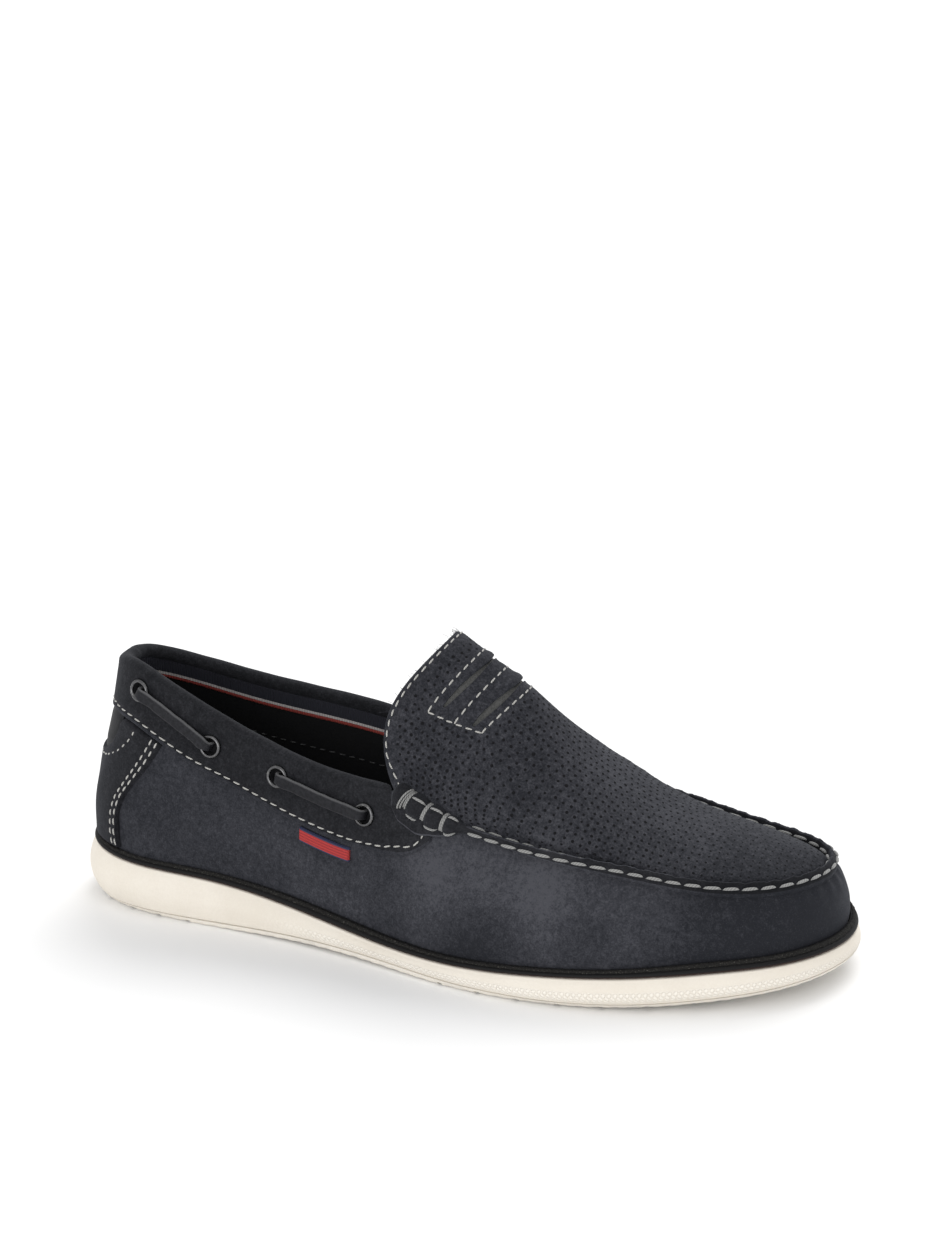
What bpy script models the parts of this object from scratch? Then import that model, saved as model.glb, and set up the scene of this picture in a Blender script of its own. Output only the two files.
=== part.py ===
"""Slip-on moccasin for the right foot: sole, welt, hollow upper, overlays, eyelets and thongs.

Tables are in millimetres from the back of the heel, with -Y the outer (lateral) side. A place round the shoe
is s: 0 at the heel, +1 at the toe along the lateral side and -1 at the toe along the medial side. A place up
the wall is t: 0 at the feather line and 1 at the edge. The plug has q (0 toe, 1 tongue edge) and v (-1 to 1).
"""

import bpy
import numpy as np

MM = 0.001
DATUM = np.array((149.0, -1.5, 0.0))
GAP = 0.3
WALL = 2.2
WELT_REACH = 5.0
OUTSOLE_TALL = 2.2
PARTING = 0.45
TREAD_DEEP = 1.2
THROAT_X = 140.0
ROLL_DROP = 3.0
ROLL_RADIUS = 2.8
OVERLAY_NEAR = 0.45
OVERLAY_FAR = 1.85
PATCH_FAR = 1.25
COLLAR_STEPS = 14
SEAM_STEPS = 22
PLUG_STEPS = 12
HOLLOW = 1.0

OUTLINE = (
    # x, lateral y, medial y, top z, under z, draft of the side at its foot, lift of the medial bottom edge
    (0.0, 0.0, 0.0, 20.5, 5.0, 3.5, 0.0),
    (9.0, -21.0, 20.5, 20.0, 1.0, 4.0, 0.0),
    (30.0, -32.5, 31.5, 19.0, 0.0, 4.0, 0.0),
    (62.0, -34.5, 33.0, 17.5, 0.0, 1.5, 0.0),
    (98.0, -37.5, 31.0, 13.5, 1.0, 1.0, 2.0),
    (134.0, -44.0, 32.0, 8.5, 1.0, 0.5, 2.0),
    (170.0, -52.5, 38.0, 8.0, 0.0, 1.0, 0.0),
    (205.0, -55.5, 46.0, 10.5, 0.0, 3.0, 0.0),
    (236.0, -50.5, 51.0, 12.5, 1.0, 3.5, 0.0),
    (264.0, -38.5, 49.0, 14.0, 3.0, 3.0, 0.0),
    (286.0, -23.0, 37.0, 15.0, 5.5, 2.5, 0.0),
    (298.0, 15.0, 15.0, 15.0, 7.0, 1.5, 0.0),
)
SOLE_SIDE = (
    # x, tuck of the side's top edge inside the outline, height of the welt
    (0.0, 2.5, 3.0),
    (60.0, 2.5, 3.5),
    (110.0, 2.0, 4.0),
    (170.0, 1.5, 3.0),
    (220.0, 1.5, 3.0),
    (264.0, 1.5, 4.0),
    (298.0, 1.0, 4.0),
)
WELT_PROFILE = (
    # inset past the tuck, share of the welt's height: a round tube below, a thinner lip above
    (1.1, 0.0),
    (0.0, 0.25),
    (0.2, 0.55),
    (0.7, 0.7),
    (1.6, 1.0),
)
LATERAL = (
    # x, inset of the edge, edge z, bulge past the feather line, shoulder
    (0.0, 19.0, 93.0, 1.5, 0.15),
    (9.0, 17.0, 94.0, 1.5, 0.15),
    (30.0, 12.5, 95.5, 1.5, 0.15),
    (62.0, 10.0, 83.5, 1.0, 0.10),
    (98.0, 9.5, 70.5, 0.5, 0.10),
    (126.0, 11.0, 66.0, 0.5, 0.15),
    (140.0, 12.0, 64.5, 1.0, 0.25),
    (152.0, 13.5, 58.5, 1.5, 0.35),
    (170.0, 16.0, 53.0, 2.0, 0.45),
    (205.0, 17.0, 48.0, 2.5, 0.50),
    (236.0, 16.5, 43.5, 2.5, 0.55),
    (264.0, 14.0, 38.5, 2.5, 0.60),
    (286.0, 10.5, 38.0, 2.5, 0.70),
    (298.0, 9.5, 37.0, 3.0, 0.80),
)
MEDIAL = (
    (9.0, 15.0, 91.5, 1.5, 0.15),
    (30.0, 11.5, 86.5, 1.5, 0.15),
    (62.0, 8.0, 80.0, 1.0, 0.10),
    (98.0, 6.0, 76.0, 0.5, 0.10),
    (126.0, 7.0, 71.5, 0.5, 0.15),
    (140.0, 8.0, 67.0, 1.0, 0.25),
    (152.0, 10.0, 60.5, 1.5, 0.35),
    (170.0, 13.0, 54.0, 2.0, 0.45),
    (205.0, 15.5, 49.5, 2.5, 0.50),
    (236.0, 17.0, 43.0, 2.5, 0.50),
    (264.0, 14.5, 38.0, 3.0, 0.55),
    (286.0, 10.5, 36.5, 4.0, 0.70),
)
PLUG = (
    # q, ridge x, ridge z, arch degrees, backward bow of the section
    (0.00, 288.5, 37.0, 45.0, 0.0),
    (0.06, 283.5, 42.0, 45.0, 0.0),
    (0.20, 262.0, 48.5, 48.0, 0.0),
    (0.40, 234.0, 56.5, 52.0, 0.0),
    (0.60, 205.0, 75.5, 66.0, 0.5),
    (0.80, 180.0, 99.0, 74.0, 16.5),
    (1.00, 153.5, 115.0, 90.0, 11.0),
)
BAND_LOW = (
    # |s|, drop below the topline to the band's lower edge
    (0.000, 20.5),
    (0.084, 21.0),
    (0.111, 22.5),
    (0.135, 23.5),
    (0.160, 24.5),
    (0.205, 25.5),
    (0.265, 24.0),
    (0.330, 24.5),
    (0.410, 25.5),
    (0.437, 25.0),
    (0.456, 22.5),
    (0.469, 19.0),
    (0.482, 14.0),
    (0.4925, 9.0),
)
LIP_LOW = (
    # |s|, drop below the seam to the lip's lower edge
    (0.4485, 5.5),
    (0.452, 7.5),
    (0.459, 9.5),
    (0.474, 9.5),
    (0.492, 7.0),
    (0.508, 4.5),
    (0.519, 1.5),
)
PATCH_LOW = (
    # |s|, drop below the topline to the lower edge of the back patch
    (0.000, 37.0),
    (0.050, 37.0),
    (0.076, 35.5),
    (0.094, 32.5),
    (0.106, 28.0),
    (0.112, 23.5),
)
COUNTER_FRONT = (
    # share of the way down, |s| of the counter's front edge
    (0.00, 0.175),
    (0.15, 0.164),
    (0.30, 0.151),
    (0.45, 0.135),
    (0.60, 0.119),
    (0.75, 0.111),
    (0.88, 0.110),
    (1.00, 0.113),
)
EYELETS = (
    # x along the sole edge, drop below the topline
    (34.5, 9.5),
    (65.5, 13.5),
    (93.0, 10.5),
    (129.0, 12.5),
)
EYELET_PROFILE = (
    # radius, height over the wall: a collar through the band and a rounded flange over it
    (2.4, 0.7),
    (2.9, 0.7),
    (2.9, 2.2),
    (4.3, 2.2),
    (4.3, 2.6),
    (3.4, 3.0),
    (2.4, 2.7),
)
BORE = 3.35
SLOTS = (
    # q of a slot's rear edge, q of its front edge
    (0.898, 0.880),
    (0.815, 0.796),
)
SLOT_REACH = 0.46
SLOT_SHUT = 0.4
SLOT_CREST = 0.16
SLOT_TRIM = 0.0021
BEAD_RISE = 0.9
BEAD_END = 0.6
LIP_FAR = 2.3
SLIP = 0.02
TREAD_X = (16.0, 29.0, 42.0, 55.0, 166.0, 181.0, 196.0, 211.0, 226.0, 241.0, 256.0)


def hermite(knots, values, at):
    """Monotone cubic through a short table, held at its ends."""
    knots, values = np.asarray(knots, float), np.asarray(values, float)
    step = np.diff(knots)[:, None]
    rise = np.diff(values, axis=0) / step
    slope = np.zeros_like(values)
    before, after = rise[:-1], rise[1:]
    total = np.where(before * after > 0, before + after, 1.0)
    slope[1:-1] = np.where(before * after > 0, 2 * before * after / total, 0.0)
    slope[0], slope[-1] = rise[0], rise[-1]
    at = np.clip(at, knots[0], knots[-1])
    i = np.clip(np.searchsorted(knots, at, side="right") - 1, 0, len(step) - 1)
    h = step[i]
    u = ((at - knots[i])[..., None]) / h
    before = (2 * u**3 - 3 * u**2 + 1) * values[i] + (u**3 - 2 * u**2 + u) * slope[i] * h
    return before + (3 * u**2 - 2 * u**3) * values[i + 1] + (u**3 - u**2) * slope[i + 1] * h


def column(table, at):
    """The second column of a two-column table at |at|."""
    rows = np.array(table)
    return hermite(rows[:, 0], rows[:, 1:], np.abs(np.asarray(at, float)))[..., 0]


def sole_side(x):
    """The tuck of the sole's top edge and the height of the welt, at a place along the shoe."""
    rows = np.array(SOLE_SIDE)
    side = hermite(rows[:, 0], rows[:, 1:], x)
    return side[..., 0], side[..., 1]


def periodic(knots, values, period, at):
    """Closed cubic spline through rows of values."""
    n = len(knots)
    step = np.diff(np.append(knots, knots[0] + period))
    rise = (np.roll(values, -1, axis=0) - values) / step[:, None]
    matrix, right = np.zeros((n, n)), np.zeros_like(values)
    for i in range(n):
        matrix[i, i - 1] += step[i]
        matrix[i, i] += 2 * (step[i - 1] + step[i])
        matrix[i, (i + 1) % n] += step[i - 1]
        right[i] = 3 * (step[i] * rise[i - 1] + step[i - 1] * rise[i])
    slope = np.linalg.solve(matrix, right)
    at = np.mod(at - knots[0], period) + knots[0]
    i = np.clip(np.searchsorted(knots, at, side="right") - 1, 0, n - 1)
    j = (i + 1) % n
    u = ((at - knots[i]) / step[i])[..., None]
    ma, mb = slope[i] * step[i][..., None], slope[j] * step[i][..., None]
    start, end = (2 * u**3 - 3 * u**2 + 1) * values[i], (3 * u**2 - 2 * u**3) * values[j]
    return start + (u**3 - 2 * u**2 + u) * ma + end + (u**3 - u**2) * mb


def ring_rows():
    table = np.array(OUTLINE)
    lateral = np.column_stack([table[:, 0], table[:, 1], table[:, 3:6]])
    medial = np.column_stack([table[:, 0], table[:, 2], table[:, 3:6]])
    medial[:, 3] += table[:, 6]
    return np.vstack([lateral, medial[1:-1][::-1]])


RING = ring_rows()
SPANS = np.linalg.norm(np.diff(np.vstack([RING, RING[:1]])[:, :2], axis=0), axis=1)
RING_KNOTS = np.concatenate([[0.0], np.cumsum(SPANS)[:-1]])
PERIOD = SPANS.sum()
TOE = RING_KNOTS[len(OUTLINE) - 1]


def ring(s):
    """Rows x, y, top, under, draft of the sole's outline."""
    s = np.mod(np.asarray(s, float) + 1.0, 2.0) - 1.0
    return periodic(RING_KNOTS, RING, PERIOD, np.where(s >= 0, s * TOE, PERIOD + s * (PERIOD - TOE)))


def outward(s, e=1e-3):
    """Unit normal of the outline in plan."""
    d = ring(np.asarray(s, float) + e)[..., :2] - ring(np.asarray(s, float) - e)[..., :2]
    n = np.stack([d[..., 1], -d[..., 0]], axis=-1)
    return n / np.linalg.norm(n, axis=-1, keepdims=True)


def s_at(x, side):
    """The place on one side where the outline reaches x."""
    grid = np.linspace(0.0, 1.0, 801)
    return side * np.interp(x, np.maximum.accumulate(ring(side * grid)[:, 0]), grid)


def wall_rows():
    knots = [0.0] + [s_at(row[0], 1) for row in LATERAL[1:-1]] + [1.0]
    knots += [2.0 + s_at(row[0], -1) for row in MEDIAL[::-1]]
    rows = [row[1:] for row in LATERAL] + [row[1:] for row in MEDIAL[::-1]]
    return np.array(knots), np.array(rows)


WALL_KNOTS, WALL_ROWS = wall_rows()
THROAT = {1: s_at(THROAT_X, 1), -1: s_at(THROAT_X, -1)}
ROLL_END = {1: THROAT[1] - 0.0095, -1: THROAT[-1] + 0.0095}


def wall(s, t):
    """Outer skin of the upper's side."""
    s, t = np.broadcast_arrays(np.asarray(s, float), np.asarray(t, float))
    edge, inset = periodic(WALL_KNOTS, WALL_ROWS, 2.0, np.mod(s, 2.0)), WELT_REACH
    base = ring(s)[..., 2] + GAP
    rise, lean = edge[..., 1] - base, edge[..., 0] - inset
    bulge, square = edge[..., 2], edge[..., 3]
    out = 3 * (1 - t) ** 2 * t * bulge - 3 * (1 - t) * t**2 * lean * (1 - square) - t**3 * lean
    up = (1 - t) ** 2 * t * 1.05 * rise + 3 * (1 - t) * t**2 * rise * (0.7 + 0.3 * square) + t**3 * rise
    plan = ring(s)[..., :2] + outward(s) * (out - inset)[..., None]
    return np.concatenate([plan, (base + up)[..., None]], axis=-1)


def plug(q, v):
    """Outer skin of the plug and the tongue that it becomes."""
    q, v = np.broadcast_arrays(np.asarray(q, float), np.asarray(v, float))
    table = np.array(PLUG)
    row = hermite(table[:, 0], table[:, 1:], q)
    arch, bow = np.radians(row[..., 2]), row[..., 3]
    near = wall(1 - (1 - THROAT[1]) * q, 1.0)
    far = wall((1 + THROAT[-1]) * q - 1, 1.0)
    crown = (np.cos(arch * v) - np.cos(arch)) / (1 - np.cos(arch))
    across = np.sin(arch * v) / np.sin(arch)
    middle, half = (near + far) / 2, (near - far) / 2
    p = middle + half * across[..., None]
    p[..., 0] += (row[..., 0] - middle[..., 0]) * crown - bow * np.sin(np.pi * np.clip(crown, 0, 1))
    p[..., 2] += (row[..., 1] - middle[..., 2]) * crown
    return p


def unit(vector):
    return vector / np.linalg.norm(vector, axis=-1, keepdims=True)


def normal(surface, a, b, e=1e-3):
    """Unit normal of a surface, facing out of the shoe."""
    a, b = np.asarray(a, float), np.asarray(b, float)
    return unit(np.cross(surface(a + e, b) - surface(a - e, b), surface(a, b + e) - surface(a, b - e)))


def raised(surface, a, b, off):
    """The surface moved out along its normal."""
    off = np.asarray(off, float)
    return surface(a, b) + normal(surface, a, b) * off[..., None]


def t_at_drop(s, drop):
    """The t that lies a length below the edge, measured along the wall."""
    s, drop = np.broadcast_arrays(np.asarray(s, float), np.asarray(drop, float))
    grid = np.linspace(1.0, 0.0, 41)
    out = np.empty(s.shape)
    for place in np.ndindex(s.shape):
        run = wall(s[place], grid)
        length = np.concatenate([[0.0], np.cumsum(np.linalg.norm(np.diff(run, axis=0), axis=1))])
        out[place] = np.interp(drop[place], length, grid)
    return out


def t_at_height(s, height):
    """The t that stands a height above the feather line."""
    s, height = np.broadcast_arrays(np.asarray(s, float), np.asarray(height, float))
    grid = np.linspace(0.0, 1.0, 81)
    out = np.empty(s.shape)
    for place in np.ndindex(s.shape):
        run = wall(s[place], grid)[:, 2]
        out[place] = np.interp(height[place], run - run[0], grid)
    return out


def on_wall(s, drop, off):
    """A point a drop below the edge and an offset out from the wall."""
    return raised(wall, s, t_at_drop(s, drop), np.broadcast_to(off, np.broadcast(s, drop).shape))


def side_stations(side):
    collar = np.linspace(0.0, ROLL_END[side], COLLAR_STEPS + 1)
    return np.concatenate([collar, np.linspace(THROAT[side], side * 1.0, SEAM_STEPS + 1)])


LAT, MED = side_stations(1), side_stations(-1)
ROUND = np.concatenate([LAT, MED[1:-1][::-1]])


def material(name, color, rough, metal=0.0):
    made = bpy.data.materials.new(name)
    made.use_nodes = True
    shader = made.node_tree.nodes["Principled BSDF"]
    shader.inputs["Base Color"].default_value = (*color, 1.0)
    shader.inputs["Roughness"].default_value = rough
    shader.inputs["Metallic"].default_value = metal
    return made


FINISHES = {
    "nubuck": ((0.020, 0.023, 0.034), 0.9, 0.0),
    "smooth": ((0.030, 0.034, 0.042), 0.5, 0.0),
    "lining": ((0.010, 0.010, 0.012), 0.8, 0.0),
    "cream": ((0.82, 0.78, 0.68), 0.6, 0.0),
    "grey_tread": ((0.60, 0.58, 0.53), 0.7, 0.0),
    "black_rubber": ((0.012, 0.012, 0.012), 0.55, 0.0),
    "gunmetal": ((0.22, 0.22, 0.23), 0.3, 1.0),
    "thong": ((0.045, 0.05, 0.06), 0.7, 0.0),
    "woven": ((0.25, 0.02, 0.03), 0.8, 0.0),
}


def solid(name, points, faces, finish, helper=False):
    """An object from millimetre points, moved to the shared frame."""
    mesh = bpy.data.meshes.new(name)
    mesh.from_pydata(((np.asarray(points) - DATUM) * MM).tolist(), [], [list(map(int, f)) for f in faces])
    mesh.update()
    made = bpy.data.objects.new(name, mesh)
    bpy.context.scene.collection.objects.link(made)
    made.data.materials.append(material(name + "_finish", *FINISHES[finish]))
    if helper:
        made.hide_render = True
        made.display_type = "WIRE"
    return made


def combine(target, other, operation):
    """An exact Boolean by a helper object."""
    step = target.modifiers.new(operation.lower(), "BOOLEAN")
    step.operation = operation
    step.solver = "EXACT"
    step.object = other


def tube(sections, closed=False):
    """Points and faces of a skin through closed sections of equal count, capped at its ends unless closed."""
    count, around = sections.shape[:2]
    grid = np.arange(count * around).reshape(count, around)
    faces = []
    for i in range(count if closed else count - 1):
        a, b = grid[i], grid[(i + 1) % count]
        faces += [(a[j], a[(j + 1) % around], b[(j + 1) % around], b[j]) for j in range(around)]
    if not closed:
        faces += [tuple(grid[0][::-1]), tuple(grid[-1])]
    return sections.reshape(-1, 3), faces


def facing_out(points, faces):
    """The faces, turned round if the closed skin faces inwards."""
    points = np.asarray(points) - np.mean(points, axis=0)
    volume = 0.0
    for face in faces:
        for j in range(1, len(face) - 1):
            volume += np.dot(points[face[0]], np.cross(points[face[j]], points[face[j + 1]]))
    return faces if volume > 0 else [tuple(face[::-1]) for face in faces]


def tube_solid(name, sections, finish, closed=False, helper=False):
    points, faces = tube(sections, closed)
    return solid(name, points, facing_out(points, faces), finish, helper)


def patch_sections(near, far):
    """Sections of a sheet between two grids: up the near face and back down the far one."""
    return np.concatenate([near, far[:, ::-1]], axis=1)


def plate(rings, hollow=0.0):
    """A closed plate: outline rings from the top face to the bottom one, each face filled across.

    The hollow lifts the middle of the bottom face along the waist.
    """
    half = len(LAT)
    count = len(ROUND)
    points, index = [ring_points for level in rings for ring_points in level], []
    for level in range(len(rings)):
        index.append(np.arange(count) + level * count)
    faces = []
    for upper, lower in zip(index[:-1], index[1:]):
        faces += [(upper[j], lower[j], lower[(j + 1) % count], upper[(j + 1) % count]) for j in range(count)]
    points = np.array(points)
    for level, flip in ((0, False), (-1, True)):
        lateral = index[level][:half]
        medial = np.concatenate([index[level][:1], index[level][half:][::-1], index[level][half - 1 : half]])
        middle = (points[lateral] + points[medial])[1:-1] / 2
        if flip:
            middle[:, 2] += hollow * np.exp(-(((middle[:, 0] - 112.0) / 26.0) ** 2))
        own = np.arange(len(middle)) + len(points)
        points = np.vstack([points, middle])
        rows = np.column_stack([lateral[1:-1], own, medial[1:-1]])
        pairs = [(i, j) for i in range(len(rows) - 1) for j in (0, 1)]
        cap = [(rows[i, j], rows[i + 1, j], rows[i + 1, j + 1], rows[i, j + 1]) for i, j in pairs]
        cap += [(lateral[0], rows[0, j], rows[0, j + 1]) for j in (0, 1)]
        cap += [(lateral[-1], rows[-1, j + 1], rows[-1, j]) for j in (0, 1)]
        faces += [tuple(f[::-1]) for f in cap] if flip else cap
    return points, faces


def inset_ring(inset, height):
    """A ring inside the outline at given heights."""
    plan = ring(ROUND)[:, :2] - outward(ROUND) * np.broadcast_to(inset, ROUND.shape)[:, None]
    return np.column_stack([plan, height])


def tidy(target):
    """Merges the points that an exact Boolean leaves a hair apart."""
    step = target.modifiers.new("tidy", "WELD")
    step.merge_threshold = 0.02 * MM


def side_ring(share, start, foot):
    """The sole's side, a share of the way down: tucked in above, widest half way, drawn in below."""
    rows = ring(ROUND)
    tuck, _ = sole_side(rows[:, 0])
    above, below = np.clip(1 - 2 * share, 0.0, 1.0), np.clip(2 * share - 1, 0.0, 1.0)
    return inset_ring(tuck * above**2 + rows[:, 4] * below**2, start + (foot - start) * share)


def tread_cutter(x, name):
    """A zigzag bar across the sole that cuts one groove of the tread."""
    lateral, medial = ring(s_at(x, 1)), ring(s_at(x, -1))
    across = np.linspace(lateral[1] - 6, medial[1] + 6, 6)
    along = x + np.where(np.arange(6) % 2 == 0, -2.0, 2.0)
    roof = max((lateral[3] + medial[3]) / 2, 0.0) + TREAD_DEEP
    corners = ((-1, -4), (1, -4), (1, roof), (-1, roof))
    bar = [[(middle + half, y, z) for half, z in corners] for middle, y in zip(along, across)]
    return tube_solid(name, np.array(bar, float), "grey_tread", helper=True)


def build_sole():
    rows = ring(ROUND)
    top, under, draft = rows[:, 2], np.maximum(rows[:, 3], 0.0), rows[:, 4]
    tuck, _ = sole_side(rows[:, 0])
    start, meet = top - 0.8, under + OUTSOLE_TALL
    split, parted, low = ((start - z) / (start - under) for z in (meet + PARTING, meet, under + 0.8))
    side = [side_ring(share, start, under) for share in (0.0, 0.25, 0.5, split)]
    points, faces = plate([inset_ring(tuck + 0.9, top)] + side)
    solid("midsole", points, facing_out(points, faces), "cream")
    side = [side_ring(share, start, under) for share in (parted, low)]
    points, faces = plate(side + [inset_ring(draft + 0.9, under)], HOLLOW)
    tread = solid("outsole", points, facing_out(points, faces), "grey_tread")
    for i, x in enumerate(TREAD_X):
        combine(tread, tread_cutter(x, f"tread_cut_{i + 1}"), "DIFFERENCE")
    bed = [inset_ring(9.2, top + GAP + 3.0), inset_ring(8.0, top + GAP + 2.0), inset_ring(8.0, top + GAP)]
    points, faces = plate(bed)
    solid("insole", points, facing_out(points, faces), "lining")


def build_welt():
    rows = ring(ROUND)
    tuck, tall = sole_side(rows[:, 0])
    heights = PARTING + (tall[:, None] - PARTING) * np.array((0.0, 1.0))
    t = t_at_height(ROUND[:, None], heights - GAP)
    inner = raised(wall, ROUND[:, None], t, np.full(t.shape, OVERLAY_NEAR))
    outer = [inset_ring(tuck + a, rows[:, 2] + PARTING + (tall - PARTING) * b) for a, b in WELT_PROFILE[::-1]]
    outer = np.stack(outer, axis=1)
    tube_solid("welt", np.concatenate([inner, outer], axis=1), "black_rubber", closed=True)


def top_of_wall():
    """The t of the wall's own edge: under the rolled rim it stops short of the topline."""
    place = np.arange(len(ROUND))
    collar = (place <= COLLAR_STEPS) | (place >= len(ROUND) - COLLAR_STEPS)
    return np.where(collar, t_at_drop(ROUND, ROLL_DROP), 1.0)


def upper_skin():
    """One open skin: the wall all round, and the plug and tongue joined to it along the seam."""
    share = np.array((0.0, 0.1, 0.28, 0.5, 0.75, 1.0))
    count, rows, half = len(ROUND), len(share), len(LAT)
    points = wall(ROUND[:, None], top_of_wall()[:, None] * share[None]).reshape(-1, 3)
    grid = np.arange(count * rows).reshape(count, rows)
    faces = []
    for k in range(count):
        after = grid[(k + 1) % count]
        faces += [(grid[k][j], after[j], after[j + 1], grid[k][j + 1]) for j in range(rows - 1)]
    qs = np.linspace(0.0, 1.0, SEAM_STEPS + 1)[1:]
    vs = np.linspace(1.0, -1.0, PLUG_STEPS + 1)[1:-1]
    inner = plug(qs[:, None], vs[None])
    own = np.arange(inner.shape[0] * inner.shape[1]).reshape(inner.shape[:2]) + len(points)
    points = np.vstack([points, inner.reshape(-1, 3)])
    toe = half - 1
    lateral = grid[[toe - i for i in range(1, SEAM_STEPS + 1)], -1]
    medial = grid[[toe + i for i in range(1, SEAM_STEPS + 1)], -1]
    sheet = np.column_stack([lateral, own, medial])
    tip = grid[toe, -1]
    faces += [(tip, sheet[0, j + 1], sheet[0, j]) for j in range(PLUG_STEPS)]
    for i in range(SEAM_STEPS - 1):
        this, after = sheet[i], sheet[i + 1]
        faces += [(this[j], this[j + 1], after[j + 1], after[j]) for j in range(PLUG_STEPS)]
    return points, faces


def seam_frames():
    """Places along the seam with their along, up and side directions, and how far each is from the throat."""
    lateral = np.linspace(THROAT[1] + 0.004, 1.0, SEAM_STEPS + 1)
    medial = np.linspace(-1.0, THROAT[-1] - 0.004, SEAM_STEPS + 1)[1:]
    s = np.concatenate([lateral, medial])
    q = np.where(s > 0, (1 - s) / (1 - THROAT[1]), (1 + s) / (1 + THROAT[-1]))
    p = wall(s, 1.0)
    along = unit(np.gradient(p, axis=0))
    v = np.where(s > 0, 0.99, -0.99)
    rising = unit(wall(s, 1.0) - wall(s, 0.99))
    top = unit(normal(wall, s, 1.0) + normal(plug, np.clip(q, 0.03, 0.99), v)) + rising * 0.8
    up = unit(top - along * np.sum(top * along, axis=1)[:, None])
    return s, q, p, up, np.cross(along, up)


def seam_bead():
    """The seam as a raised bead, thicker where it is whipped beside the throat."""
    s, q, p, up, side = seam_frames()
    half = hermite((0.0, 0.80, 0.88, 1.0), ((1.5, 2.2), (1.5, 2.2), (2.2, 2.7), (1.6, 2.2)), q)
    half[[0, -1]] *= BEAD_END
    turn = np.radians(np.arange(6) * 60 + 90)[None, :, None]
    oval = np.cos(turn) * half[:, :1, None] * side[:, None] + np.sin(turn) * half[:, 1:, None] * up[:, None]
    return (p + up * BEAD_RISE)[:, None] + oval


def throat_lip(sign):
    """The corner of the plug that laps down over the collar band beside the throat."""
    table = np.array(LIP_LOW)
    drop = table[:, 1:] * np.array((0.15, 0.55, 1.0))
    shift = THROAT[sign] * sign - THROAT[1]
    place = np.broadcast_to(((table[:, :1] + shift) * sign), drop.shape)
    return patch_sections(on_wall(place, drop, -1.0), on_wall(place, drop, LIP_FAR))


def slot_sheet(rear, front, trim, low, high):
    """A crescent across the plug between two places up it, as a sheet between two depths.

    The trim narrows it all round, its ends are pinched to rounded tips, and it half shuts over the crest.
    """
    v = np.linspace(-SLOT_REACH, SLOT_REACH, 13)
    pinch = np.sqrt(np.clip(1 - (v / (SLOT_REACH + 0.015)) ** 4, 0.0, 1.0))
    pinch *= 1 - SLOT_SHUT * np.exp(-((v / SLOT_CREST) ** 2))
    half = (rear - front) / 2 - trim
    q = (rear + front) / 2 + np.array((-1.0, 0.0, 1.0)) * (half * pinch)[:, None]
    q, v = (q[1:-1], v[1:-1]) if trim else (q, v)
    v = np.broadcast_to(v[:, None], q.shape)
    near, far = (raised(plug, q, v, np.full(q.shape, depth)) for depth in (low, high))
    return patch_sections(near, far)


def build_upper():
    points, faces = upper_skin()
    upper = solid("upper", points, faces, "nubuck")
    shell = upper.modifiers.new("thickness", "SOLIDIFY")
    shell.thickness, shell.offset = WALL * MM, -1.0
    shell.use_even_offset, shell.use_rim = True, True
    combine(upper, tube_solid("seam_bead", seam_bead(), "nubuck", helper=True), "UNION")
    for sign, tag in ((1, "lateral"), (-1, "medial")):
        combine(upper, tube_solid(f"{tag}_lip", throat_lip(sign), "nubuck", helper=True), "UNION")
    for i, (rear, front) in enumerate(SLOTS):
        hole = slot_sheet(rear, front, 0.0, -1.55, 2.5)
        combine(upper, tube_solid(f"slot_cut_{i + 1}", hole, "nubuck", helper=True), "DIFFERENCE")
        inlay = slot_sheet(rear, front, SLOT_TRIM, -1.2, -0.55)
        tube_solid(f"slot_inlay_{i + 1}", inlay, "smooth")
    tidy(upper)


def band_low(s):
    return column(BAND_LOW, s)


def lip_cover(place):
    """How far down the lip covers the wall at a place, counted a little wide of it on both sides."""
    table = np.array(LIP_LOW)
    near = [place + wide for wide in (-0.0015, 0.0, 0.0015)]
    under = [np.where(at > table[0, 0], np.interp(at, table[:, 0], table[:, 1]), 0.0) for at in near]
    return np.max(under, axis=0)


def band_flap(sign):
    """The band's front end, which runs on below the seam beside the throat."""
    throat = THROAT[1]
    behind = (throat - 0.026, throat - 0.018, ROLL_END[1])
    place = np.array(behind + (throat - 0.004, throat, throat + 0.004, 0.457, 0.466, 0.475, 0.484, 0.4905))
    cover = lip_cover(place)
    high = np.where(cover > 0, cover + 0.5, 1.0)
    high[: len(behind) - 1] = ROLL_DROP + 0.4
    share = np.array((0.0, 0.5, 1.0))
    drop = high[:, None] * (1 - share) + (band_low(place)[:, None] - SLIP) * share
    shift = THROAT[sign] * sign - throat
    place = np.broadcast_to(((place + shift) * sign)[:, None], drop.shape)
    near, far = (on_wall(place, drop, off) for off in (OVERLAY_NEAR + SLIP, OVERLAY_FAR - SLIP))
    return patch_sections(near, far)


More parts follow.
